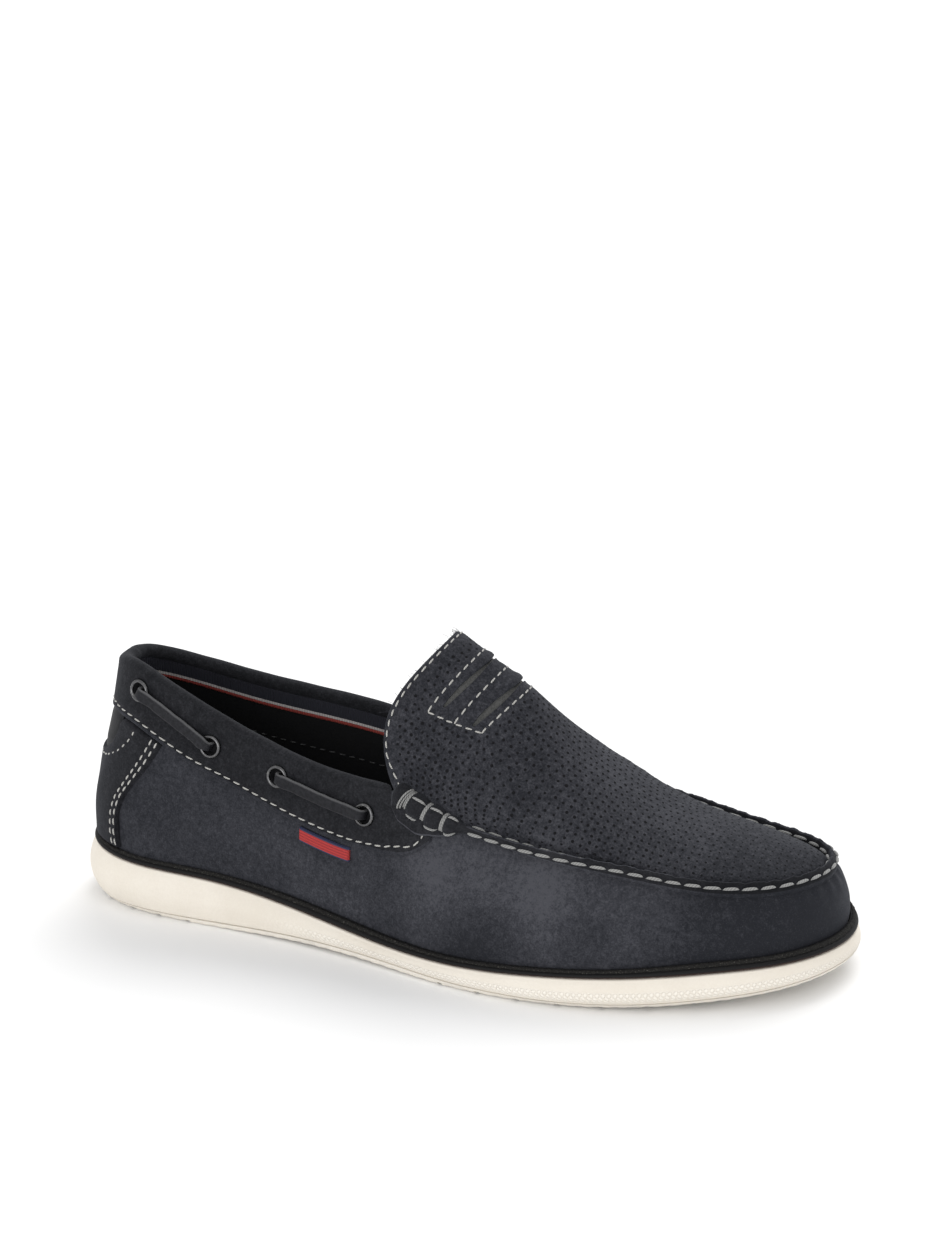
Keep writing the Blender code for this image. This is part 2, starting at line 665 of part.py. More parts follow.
def build_band():
    """The collar band: a sheet on the wall, rolled over the topline into a padded rim."""
    s = np.concatenate([MED[1 : COLLAR_STEPS + 1][::-1], LAT[: COLLAR_STEPS + 1]])
    low = band_low(s)
    middle = low * 0.55 + 2.0
    top = t_at_drop(s, ROLL_DROP)
    edge, out = wall(s, top), normal(wall, s, top)
    up = unit(wall(s, top + 1e-3) - wall(s, top - 1e-3))
    core = edge - out * 0.95
    around = [on_wall(s, low, OVERLAY_FAR), on_wall(s, middle, OVERLAY_FAR), edge + out * OVERLAY_FAR]
    for turn in np.radians((45, 90, 135)):
        around.append(core + (out * np.cos(turn) + up * np.sin(turn)) * ROLL_RADIUS)
    around += [core - out * ROLL_RADIUS + up * 0.7, edge - out * (WALL + 0.5) + up * 0.45]
    around += [edge + out * OVERLAY_NEAR + up * 0.45, on_wall(s, middle, OVERLAY_NEAR)]
    around += [on_wall(s, low, OVERLAY_NEAR)]
    band = tube_solid("collar_band", np.stack(around, axis=1), "nubuck")
    for sign, tag in ((1, "lateral"), (-1, "medial")):
        combine(band, tube_solid(f"{tag}_flap", band_flap(sign), "nubuck", helper=True), "UNION")
    return band


def build_heel():
    """The counter behind the heel, and the smooth patch between it and the band."""
    share = np.linspace(0.0, 1.0, 6)
    reach = column(COUNTER_FRONT, share)
    across = np.linspace(-1.0, 1.0, 21)
    start = across * reach[0]
    patch_end = PATCH_LOW[-1][0]
    near = [start + wide for wide in (-0.0025, 0.0, 0.0025)]
    patch = np.max([np.where(np.abs(at) <= patch_end, column(PATCH_LOW, at), 0.0) for at in near], axis=0)
    high = np.maximum(band_low(start) + 0.5, patch + 0.6)
    s = across[:, None] * reach
    _, welt = sole_side(ring(s[:, -1])[:, 0])
    top, bottom = t_at_drop(s[:, 0], high), t_at_height(s[:, -1], welt + 0.3)
    t = top[:, None] * (1 - share) + bottom[:, None] * share
    near, far = (raised(wall, s, t, np.full(s.shape, off)) for off in (OVERLAY_NEAR, OVERLAY_FAR))
    tube_solid("heel_counter", patch_sections(near, far), "nubuck")
    place = np.linspace(-1.0, 1.0, 17) * (patch_end - 0.002)
    rows = np.linspace(0.0, 1.0, 4)
    drop = (band_low(place) + 0.5)[:, None] * (1 - rows) + column(PATCH_LOW, place)[:, None] * rows
    place = np.broadcast_to(place[:, None], drop.shape)
    near, far = (on_wall(place, drop, off) for off in (OVERLAY_NEAR, PATCH_FAR))
    tube_solid("back_patch", patch_sections(near, far), "smooth")


def eyelet_spots(sign):
    return [(s_at(x, sign), drop) for x, drop in EYELETS]


def build_eyelets(band):
    """Eight eyelets clenched through the band, and a thong between each two at the rear and the front."""
    profile = np.array(EYELET_PROFILE)
    turn = np.linspace(0.0, 2 * np.pi, 11)[:-1]
    for sign, tag in ((1, "lateral"), (-1, "medial")):
        for i, (s, drop) in enumerate(eyelet_spots(sign)):
            t = t_at_drop(s, drop)
            centre, out = wall(s, t), normal(wall, s, t)
            along = unit(wall(s + 1e-3, t) - wall(s - 1e-3, t))
            up = np.cross(out, along)
            spoke = np.cos(turn)[:, None] * along + np.sin(turn)[:, None] * up
            rings = centre + spoke[:, None] * profile[None, :, :1] + out * profile[None, :, 1:]
            tube_solid(f"eyelet_{tag}_{i + 1}", rings, "gunmetal", closed=True)
            ends = np.stack([centre + spoke * BORE + out * high for high in (-0.2, 4.0)])
            combine(band, tube_solid(f"hole_{tag}_{i + 1}", ends, "gunmetal", helper=True), "DIFFERENCE")
        spots = eyelet_spots(sign)
        build_thong(f"thong_{tag}_rear", spots[0], spots[1])
        build_thong(f"thong_{tag}_front", spots[2], spots[3])


def build_thong(name, first, last):
    """A flat strip that comes up one bore, crosses the band and dips into the next."""
    steps = ((0.0, 1.1), (0.0, 2.8), (0.7, 3.8), (2.6, 4.2), (5.8, 3.4), (9.5, 3.0))
    ends = [np.array((s, t_at_drop(s, drop))) for s, drop in (first, last)]
    span = np.linalg.norm(wall(*ends[1]) - wall(*ends[0]))
    path = [(a / span, h) for a, h in steps] + [(1 - a / span, h) for a, h in steps[::-1]]
    share, height = np.array(path).T
    s = ends[0][0] * (1 - share) + ends[1][0] * share
    t = ends[0][1] * (1 - share) + ends[1][1] * share
    line = raised(wall, s, t, height)
    across = unit(np.cross(normal(wall, s, t), wall(*ends[1]) - wall(*ends[0])))
    along = unit(np.gradient(line, axis=0))
    thick = unit(np.cross(along, across))
    width = np.where((height < 4.0) & ((share < 0.06) | (share > 0.94)), 1.75, 2.3)[:, None]
    shape = ((1, 0.7), (0.8, 1), (-0.8, 1), (-1, 0.7), (-1, -1), (1, -1))
    corners = [line + across * width * a + thick * 0.6 * b for a, b in shape]
    tube_solid(name, np.stack(corners, axis=1), "thong")


def build_tab():
    s = np.linspace(0.338, 0.3985, 6)
    low = band_low(s)
    rows = np.array((0.0, 0.5, 1.0))
    drop = (low + 0.9)[:, None] + 5.0 * rows[None]
    place = np.broadcast_to(s[:, None], drop.shape)
    tube_solid("side_tab", patch_sections(on_wall(place, drop, 0.4), on_wall(place, drop, 1.4)), "woven")


def main():
    for item in list(bpy.data.objects):
        bpy.data.objects.remove(item, do_unlink=True)
    build_sole()
    build_welt()
    build_upper()
    band = build_band()
    build_heel()
    build_eyelets(band)
    build_tab()


main()
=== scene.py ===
"""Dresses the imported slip-on moccasin for the right foot: leather, thread, metal, sole, light and camera.

Places are named in the shoe's own terms, in millimetres from the back of the heel, -Y being the outer side.
s goes round the sole from the heel (0) to the toe (+1 along the outer side, -1 along the inner side).
t climbs the wall from the feather line (0) to the edge (1), and a drop is a length down the wall from that
edge. q goes up the plug from the toe (0) to the tongue's edge (1), and v across it from +1 at the outer seam
to -1 at the inner one.
"""

import logging
import math
from collections.abc import Callable
from dataclasses import dataclass, field
from enum import Enum

import bpy
import numpy as np
from mathutils import Matrix


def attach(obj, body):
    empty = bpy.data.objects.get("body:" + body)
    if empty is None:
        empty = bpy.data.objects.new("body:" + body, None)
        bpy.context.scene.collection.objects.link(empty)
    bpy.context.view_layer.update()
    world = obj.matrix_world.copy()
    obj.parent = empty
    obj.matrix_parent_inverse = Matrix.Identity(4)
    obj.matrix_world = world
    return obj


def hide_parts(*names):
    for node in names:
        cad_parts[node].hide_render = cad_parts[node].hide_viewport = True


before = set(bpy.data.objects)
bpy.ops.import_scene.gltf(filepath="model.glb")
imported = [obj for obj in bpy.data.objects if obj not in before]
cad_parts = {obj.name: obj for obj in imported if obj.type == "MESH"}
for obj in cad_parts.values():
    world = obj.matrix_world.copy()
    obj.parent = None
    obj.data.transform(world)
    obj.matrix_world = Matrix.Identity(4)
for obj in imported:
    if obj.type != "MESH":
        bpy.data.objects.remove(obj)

Array = np.ndarray
Place = float | Array
Colour = tuple[float, float, float]
Table = tuple[tuple[float, ...], ...]
Material = bpy.types.Material
MM = 0.001
DATUM = np.array((149.0, -1.5, 0.0))
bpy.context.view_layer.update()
LOG = logging.getLogger("moccasin")


# --- the shoe's form ---------------------------------------------------------------------------------------

OUTLINE = (
    # x, outer y, inner y, top z, under z, draft of the side at its foot, lift of the inner bottom edge
    (0.0, 0.0, 0.0, 20.5, 5.0, 3.5, 0.0),
    (9.0, -21.0, 20.5, 20.0, 1.0, 4.0, 0.0),
    (30.0, -32.5, 31.5, 19.0, 0.0, 4.0, 0.0),
    (62.0, -34.5, 33.0, 17.5, 0.0, 1.5, 0.0),
    (98.0, -37.5, 31.0, 13.5, 1.0, 1.0, 2.0),
    (134.0, -44.0, 32.0, 8.5, 1.0, 0.5, 2.0),
    (170.0, -52.5, 38.0, 8.0, 0.0, 1.0, 0.0),
    (205.0, -55.5, 46.0, 10.5, 0.0, 3.0, 0.0),
    (236.0, -50.5, 51.0, 12.5, 1.0, 3.5, 0.0),
    (264.0, -38.5, 49.0, 14.0, 3.0, 3.0, 0.0),
    (286.0, -23.0, 37.0, 15.0, 5.5, 2.5, 0.0),
    (298.0, 15.0, 15.0, 15.0, 7.0, 1.5, 0.0),
)
SOLE_SIDE = (
    # x, tuck of the side's top edge inside the outline, height of the rand
    (0.0, 2.5, 3.0),
    (60.0, 2.5, 3.5),
    (110.0, 2.0, 4.0),
    (170.0, 1.5, 3.0),
    (220.0, 1.5, 3.0),
    (264.0, 1.5, 4.0),
    (298.0, 1.0, 4.0),
)
OUTER_WALL = (
    # x, inset of the edge, edge z, bulge past the feather line, shoulder
    (0.0, 19.0, 93.0, 1.5, 0.15),
    (9.0, 17.0, 94.0, 1.5, 0.15),
    (30.0, 12.5, 95.5, 1.5, 0.15),
    (62.0, 10.0, 83.5, 1.0, 0.10),
    (98.0, 9.5, 70.5, 0.5, 0.10),
    (126.0, 11.0, 66.0, 0.5, 0.15),
    (140.0, 12.0, 64.5, 1.0, 0.25),
    (152.0, 13.5, 58.5, 1.5, 0.35),
    (170.0, 16.0, 53.0, 2.0, 0.45),
    (205.0, 17.0, 48.0, 2.5, 0.50),
    (236.0, 16.5, 43.5, 2.5, 0.55),
    (264.0, 14.0, 38.5, 2.5, 0.60),
    (286.0, 10.5, 38.0, 2.5, 0.70),
    (298.0, 9.5, 37.0, 3.0, 0.80),
)
INNER_WALL = (
    (9.0, 15.0, 91.5, 1.5, 0.15),
    (30.0, 11.5, 86.5, 1.5, 0.15),
    (62.0, 8.0, 80.0, 1.0, 0.10),
    (98.0, 6.0, 76.0, 0.5, 0.10),
    (126.0, 7.0, 71.5, 0.5, 0.15),
    (140.0, 8.0, 67.0, 1.0, 0.25),
    (152.0, 10.0, 60.5, 1.5, 0.35),
    (170.0, 13.0, 54.0, 2.0, 0.45),
    (205.0, 15.5, 49.5, 2.5, 0.50),
    (236.0, 17.0, 43.0, 2.5, 0.50),
    (264.0, 14.5, 38.0, 3.0, 0.55),
    (286.0, 10.5, 36.5, 4.0, 0.70),
)
PLUG = (
    # q, ridge x, ridge z, arch degrees, backward bow of the section
    (0.00, 288.5, 37.0, 45.0, 0.0),
    (0.06, 283.5, 42.0, 45.0, 0.0),
    (0.20, 262.0, 48.5, 48.0, 0.0),
    (0.40, 234.0, 56.5, 52.0, 0.0),
    (0.60, 205.0, 75.5, 66.0, 0.5),
    (0.80, 180.0, 99.0, 74.0, 16.5),
    (1.00, 153.5, 115.0, 90.0, 11.0),
)
GAP = 0.3
WELT_REACH = 5.0
THROAT_X = 140.0
ROLL_SHORT = 0.0095
ROLL_DROP = 3.0
LEATHER = 2.2
OVERLAY_NEAR = 0.45
OVERLAY_FAR = 1.85
HALF_ROUND = 365.0  # millimetres round the sole for a place of 1
STEP = 1e-3  # of a place, to measure a slope
SIDES = {1: "lateral", -1: "medial"}


def smooth(value: Place, low: float = 0.0, high: float = 1.0) -> Array:
    """A soft step: 0 up to low, 1 from high, and 3u^2 - 2u^3 of the share u between."""
    u = np.clip((np.asarray(value, float) - low) / (high - low), 0.0, 1.0)
    return u * u * (3 - 2 * u)


def hill(away: Place, reach: Place) -> Array:
    """A bell curve: 1 at 0, falling to 1/e at the reach."""
    return np.exp(-((away / reach) ** 2))


def edge_round(inside: Array, radius: float) -> Array:
    """How far a sheet's face has risen at a distance inside its edge: a quarter circle, then 1."""
    return np.sqrt(np.clip(1 - (1 - np.clip(inside / radius, 0.0, 1.0)) ** 2, 0.0, 1.0))


def ripple(at: Place, waves: tuple[float, ...], seed: int) -> Array:
    """A gentle uneven wave: sines of the given lengths in millimetres at seeded phases, within -1 to 1."""
    phase = np.random.default_rng(seed).uniform(0, 2 * np.pi, len(waves))
    return sum(np.sin(2 * np.pi * np.asarray(at) / w + p) for w, p in zip(waves, phase)) / len(waves)


def unit(vectors: Array) -> Array:
    """The vectors at length 1, along the last axis."""
    return vectors / np.maximum(np.linalg.norm(vectors, axis=-1, keepdims=True), 1e-12)


def together(*values: Place) -> list[Array]:
    """The values as arrays of numbers, all of one shape."""
    return np.broadcast_arrays(*(np.asarray(value, float) for value in values))


def lengths(points: Array) -> Array:
    """Running length along the last but one axis of rows of points, starting at 0."""
    step = np.linalg.norm(np.diff(points, axis=-2), axis=-1)
    return np.concatenate([np.zeros_like(step[..., :1]), np.cumsum(step, axis=-1)], axis=-1)


def normals(skin: Callable[[Array, Array], Array], a: Place, b: Place) -> Array:
    """Unit normals of a surface: the cross product of a small step in a and one in b."""
    a, b = together(a, b)
    return unit(np.cross(skin(a + STEP, b) - skin(a - STEP, b), skin(a, b + STEP) - skin(a, b - STEP)))


def spokes(count: int, along: Array, up: Array) -> Array:
    """Points round a unit circle that two directions span: along times the cosine and up times the sine."""
    turn = np.linspace(0, 2 * np.pi, count + 1)[:-1, None]
    return np.cos(turn) * along[..., None, :] + np.sin(turn) * up[..., None, :]


def cubic(u: Array, step: Array, ends: tuple[Array, Array], slopes: tuple[Array, Array]) -> Array:
    """The cubic over a span with given ends and slopes, at shares u of the way across."""
    near = (2 * u**3 - 3 * u**2 + 1) * ends[0] + (u**3 - 2 * u**2 + u) * slopes[0] * step
    return near + (3 * u**2 - 2 * u**3) * ends[1] + (u**3 - u**2) * slopes[1] * step


def hermite(knots: Array, values: Array, at: Place) -> Array:
    """Monotone cubic through a short table: each slope is the harmonic mean of its two chords.

    Args:
        knots: rising places, one for each row.
        values: a row of numbers for each knot.
        at: where to read the table.

    Returns:
        A row of numbers for each place, held at the table's ends.
    """
    knots, values = np.asarray(knots, float), np.asarray(values, float)
    step = np.diff(knots)[:, None]
    rise = np.diff(values, axis=0) / step
    slope = np.zeros_like(values)
    before, after = rise[:-1], rise[1:]
    total = np.where(before * after > 0, before + after, 1.0)
    slope[1:-1] = np.where(before * after > 0, 2 * before * after / total, 0.0)
    slope[0], slope[-1] = rise[0], rise[-1]
    at = np.clip(at, knots[0], knots[-1])
    i = np.clip(np.searchsorted(knots, at, side="right") - 1, 0, len(step) - 1)
    ends, slopes = (values[i], values[i + 1]), (slope[i], slope[i + 1])
    return cubic((at - knots[i])[..., None] / step[i], step[i], ends, slopes)


def read(table: Table, at: Place) -> Array:
    """The columns of a table after its first, at places in its first."""
    rows = np.array(table)
    return hermite(rows[:, 0], rows[:, 1:], at)


def column(table: Table, at: Place) -> Array:
    """The second column of a two-column table, read at the size of a place whatever its sign."""
    return read(table, np.abs(np.asarray(at, float)))[..., 0]


def along_line(at: Array, run: Array, rows: Array) -> Array:
    """Rows of numbers read at lengths along a line, straight between its points."""
    return np.stack([np.interp(at, run, rows[:, axis]) for axis in range(rows.shape[1])], axis=-1)


def all_round(half: int) -> Array:
    """Places from beside the heel round the toe and back, mirrored in pairs from the two ends."""
    forward = (np.arange(half) + 0.5) / half
    return np.concatenate([forward, -forward[::-1]])


class Loop:
    """A closed cubic spline through rows of values, with matching slopes all round."""

    def __init__(self, knots: Array, values: Array, period: float) -> None:
        """Solves the ring of slope equations once.

        Args:
            knots: rising places, one for each row.
            values: a row of numbers for each knot.
            period: the place at which the loop starts again.
        """
        count = len(knots)
        self.knots, self.values, self.period = knots, values, period
        self.step = np.diff(np.append(knots, knots[0] + period))
        rise = (np.roll(values, -1, axis=0) - values) / self.step[:, None]
        place, before = np.arange(count), np.roll(self.step, 1)
        matrix = np.zeros((count, count))
        matrix[place, place - 1] = self.step
        matrix[place, place] = 2 * (before + self.step)
        matrix[place, (place + 1) % count] = before
        right = 3 * (self.step[:, None] * np.roll(rise, 1, axis=0) + before[:, None] * rise)
        self.slope = np.linalg.solve(matrix, right)

    def __call__(self, at: Place) -> Array:
        """The rows at some places.

        Args:
            at: places, counted on round the loop.

        Returns:
            A row of numbers for each place.
        """
        at = np.mod(at - self.knots[0], self.period) + self.knots[0]
        i = np.clip(np.searchsorted(self.knots, at, side="right") - 1, 0, len(self.knots) - 1)
        j = (i + 1) % len(self.knots)
        step = self.step[i][..., None]
        u = (at - self.knots[i])[..., None] / step
        return cubic(u, step, (self.values[i], self.values[j]), (self.slope[i], self.slope[j]))


class ShoeForm:
    """The last's shape: the sole's outline, the wall that rises from it and the plug that closes the top."""

    REACH_STEPS = 801
    WALL_STEPS = 721

    def __init__(self) -> None:
        """Fits the closed splines and tabulates how far down the wall each t lies."""
        table = np.array(OUTLINE)
        outer, inner = (np.column_stack([table[:, 0], table[:, k], table[:, 3:6]]) for k in (1, 2))
        inner[:, 3] += table[:, 6]
        rows = np.vstack([outer, inner[1:-1][::-1]])
        spans = np.linalg.norm(np.diff(np.vstack([rows, rows[:1]])[:, :2], axis=0), axis=1)
        knots = np.concatenate([[0.0], np.cumsum(spans)[:-1]])
        self.outline = Loop(knots, rows, spans.sum())
        self.toe = knots[len(OUTLINE) - 1]
        self.grid = np.linspace(0.0, 1.0, self.REACH_STEPS)
        self.reach = {side: np.maximum.accumulate(self.ring(side * self.grid)[:, 0]) for side in SIDES}
        walls = [row[1:] for row in OUTER_WALL + INNER_WALL[::-1]]
        places = [0.0] + [float(self.place_at(row[0], 1)) for row in OUTER_WALL[1:-1]] + [1.0]
        places += [2.0 + float(self.place_at(row[0], -1)) for row in INNER_WALL[::-1]]
        self.edges = Loop(np.array(places), np.array(walls), 2.0)
        self.throat = {side: float(self.place_at(THROAT_X, side)) for side in SIDES}
        self.places, falling = np.linspace(-1.0, 1.0, self.WALL_STEPS), np.linspace(1.0, 0.0, 81)
        down = lengths(self.wall(self.places[:, None], falling[None]))
        self.talls = down[:, -1]
        share = np.linspace(0.0, 1.0, 101)
        self.falls = np.stack([np.interp(share * row[-1], row, falling) for row in down])

    def ring(self, s: Place) -> Array:
        """Rows of x, y, top z, under z and draft of the sole's outline."""
        s = np.mod(np.asarray(s, float) + 1.0, 2.0) - 1.0
        span = self.outline.period
        return self.outline(np.where(s >= 0, s * self.toe, span + s * (span - self.toe)))

    def outward(self, s: Place) -> Array:
        """Unit normal of the outline in plan."""
        s = np.asarray(s, float)
        d = self.ring(s + STEP)[..., :2] - self.ring(s - STEP)[..., :2]
        return unit(np.stack([d[..., 1], -d[..., 0]], axis=-1))

    def place_at(self, x: Place, side: int) -> Array:
        """The place s on one side where the outline reaches x."""
        return side * np.interp(x, self.reach[side], self.grid)

    def near_throat(self, s: Place, side: int) -> Array:
        """A place counted on the outer side, moved to the same distance from the throat on a side."""
        return (np.asarray(s, float) + self.throat[side] * side - self.throat[1]) * side

    def wall(self, s: Place, t: Place) -> Array:
        """Outer skin of the side: a cubic in t, bulging past the feather line and leaning in to the edge.

        Args:
            s: places round the shoe.
            t: shares of the way up.

        Returns:
            Points in millimetres, on the broadcast shape of s and t.
        """
        s, t = together(s, t)
        edge, foot = self.edges(np.mod(s, 2.0)), self.ring(s)
        rise, lean = edge[..., 1] - foot[..., 2] - GAP, edge[..., 0] - WELT_REACH
        bulge, square = edge[..., 2], edge[..., 3]
        low, middle, high = 3 * (1 - t) ** 2 * t, 3 * (1 - t) * t**2, t**3
        out = low * bulge - middle * lean * (1 - square) - high * lean
        up = low * 0.35 * rise + middle * rise * (0.7 + 0.3 * square) + high * rise
        plan = foot[..., :2] + self.outward(s) * (out - WELT_REACH)[..., None]
        return np.concatenate([plan, (foot[..., 2] + GAP + up)[..., None]], axis=-1)

    def plug(self, q: Place, v: Place) -> Array:
        """Outer skin of the plug: an arch between the two seam lines, rising and bowing back into the tongue.

        Args:
            q: places up the plug.
            v: places across it.

        Returns:
            Points in millimetres, on the broadcast shape of q and v.
        """
        q, v = together(q, v)
        row = read(PLUG, q)
        arch, bow = np.radians(row[..., 2]), row[..., 3]
        near = self.wall(1 - (1 - self.throat[1]) * q, 1.0)
        far = self.wall((1 + self.throat[-1]) * q - 1, 1.0)
        crown = (np.cos(arch * v) - np.cos(arch)) / (1 - np.cos(arch))
        across = np.sin(arch * v) / np.sin(arch)
        middle, half = (near + far) / 2, (near - far) / 2
        p = middle + half * across[..., None]
        sag = bow * np.sin(np.pi * np.clip(crown, 0, 1))
        p[..., 0] += (row[..., 0] - middle[..., 0]) * crown - sag
        p[..., 2] += (row[..., 1] - middle[..., 2]) * crown
        return p

    def t_at_drop(self, s: Place, drop: Place) -> Array:
        """The t that lies a length below the edge, read between four tabulated falls.

        Args:
            s: places round the shoe.
            drop: drops below the edge.

        Returns:
            The t at each place.
        """
        s, drop = together(s, drop)
        at = (np.mod(s + 1.0, 2.0)) / 2.0 * (len(self.talls) - 1)
        i = np.clip(at.astype(int), 0, len(self.talls) - 2)
        f = at - i
        tall = self.talls[i] * (1 - f) + self.talls[i + 1] * f
        down = np.clip(drop / tall, 0.0, 1.0) * (self.falls.shape[1] - 1)
        j = np.clip(down.astype(int), 0, self.falls.shape[1] - 2)
        g = down - j
        near, far = (self.falls[k, j] * (1 - g) + self.falls[k, j + 1] * g for k in (i, i + 1))
        return near * (1 - f) + far * f

    def tall(self, s: Place) -> Array:
        """The wall's height along its own surface."""
        return np.interp(np.mod(np.asarray(s, float) + 1.0, 2.0) - 1.0, self.places, self.talls)

    def wall_normal(self, s: Place, t: Place) -> Array:
        """Unit normals of the wall, facing out of the shoe."""
        return normals(self.wall, s, t)

    def line_on_wall(self, s: Place, drop: Place, off: Place) -> tuple[Array, Array]:
        """Points a drop below the edge and an offset out from the wall, and the normals there.

        Args:
            s: places round the shoe.
            drop: drops below the edge.
            off: offsets out from the wall.

        Returns:
            The points and the unit normals.
        """
        s, drop, off = together(s, drop, off)
        t = self.t_at_drop(s, drop)
        out = self.wall_normal(s, t)
        return self.wall(s, t) + out * off[..., None], out

    def on_wall(self, s: Place, drop: Place, off: Place) -> Array:
        """Points a drop below the edge and an offset out from the wall."""
        return self.line_on_wall(s, drop, off)[0]

    def sheet(self, s: Place, drop: Place, off: Place, under: Place) -> Array:
        """Closed sections of a sheet that lies on the wall, between an outer and an inner offset."""
        return slab(self.on_wall(s, drop, off), self.on_wall(s, drop, under))

    def line_on_plug(self, q: Place, v: Place, off: Place) -> tuple[Array, Array]:
        """Points an offset out from the plug, and the normals there."""
        q, v, off = together(q, v, off)
        out = normals(self.plug, q, v)
        return self.plug(q, v) + out * off[..., None], out

    def on_plug(self, q: Place, v: Place, off: Place) -> Array:
        """Points an offset out from the plug."""
        return self.line_on_plug(q, v, off)[0]

    def tongue_span(self, v: Array, share: float = 0.01) -> Array:
        """Millimetres for a q of 1 at the tongue's edge, from the last share of the plug."""
        return np.linalg.norm(self.plug(1.0, v) - self.plug(1.0 - share, v), axis=-1) / share

    def inset_ring(self, s: Array, inset: Place, height: Place) -> Array:
        """A ring inside the sole's outline at given heights."""
        inset, height = np.broadcast_to(inset, s.shape), np.broadcast_to(height, s.shape)
        return np.column_stack([self.ring(s)[:, :2] - self.outward(s) * inset[:, None], height])


# --- meshes ------------------------------------------------------------------------------------------------


def cap_quads(loop: Array) -> Array:
    """Rungs that close a loop of an even number of points, from its first pair to its middle."""
    i = np.arange(loop.shape[-1] // 2 - 1)
    return np.stack([loop[..., i], loop[..., i + 1], loop[..., -2 - i], loop[..., -1 - i]], axis=-1)


def slab(face: Array, back: Array) -> Array:
    """Closed sections of a sheet: along its face and home along its back."""
    return np.concatenate([face, back[..., ::-1, :]], axis=-2)


def into_frame(points: list[Array]) -> Array:
    """Points in the part's own frame, in metres."""
    return (np.concatenate(points) - DATUM) * MM


def linked(name: str, data: bpy.types.ID) -> bpy.types.Object:
    """A new object of some data, in the scene."""
    made = bpy.data.objects.new(name, data)
    bpy.context.scene.collection.objects.link(made)
    return made


def axes_at(right: Array, up: Array, back: Array, spot: Array) -> Matrix:
    """The placing of a lamp or camera: its three axes and its spot in metres."""
    axes = np.eye(4)
    axes[:3] = np.column_stack([right, up, back, spot])
    return Matrix(axes.tolist())


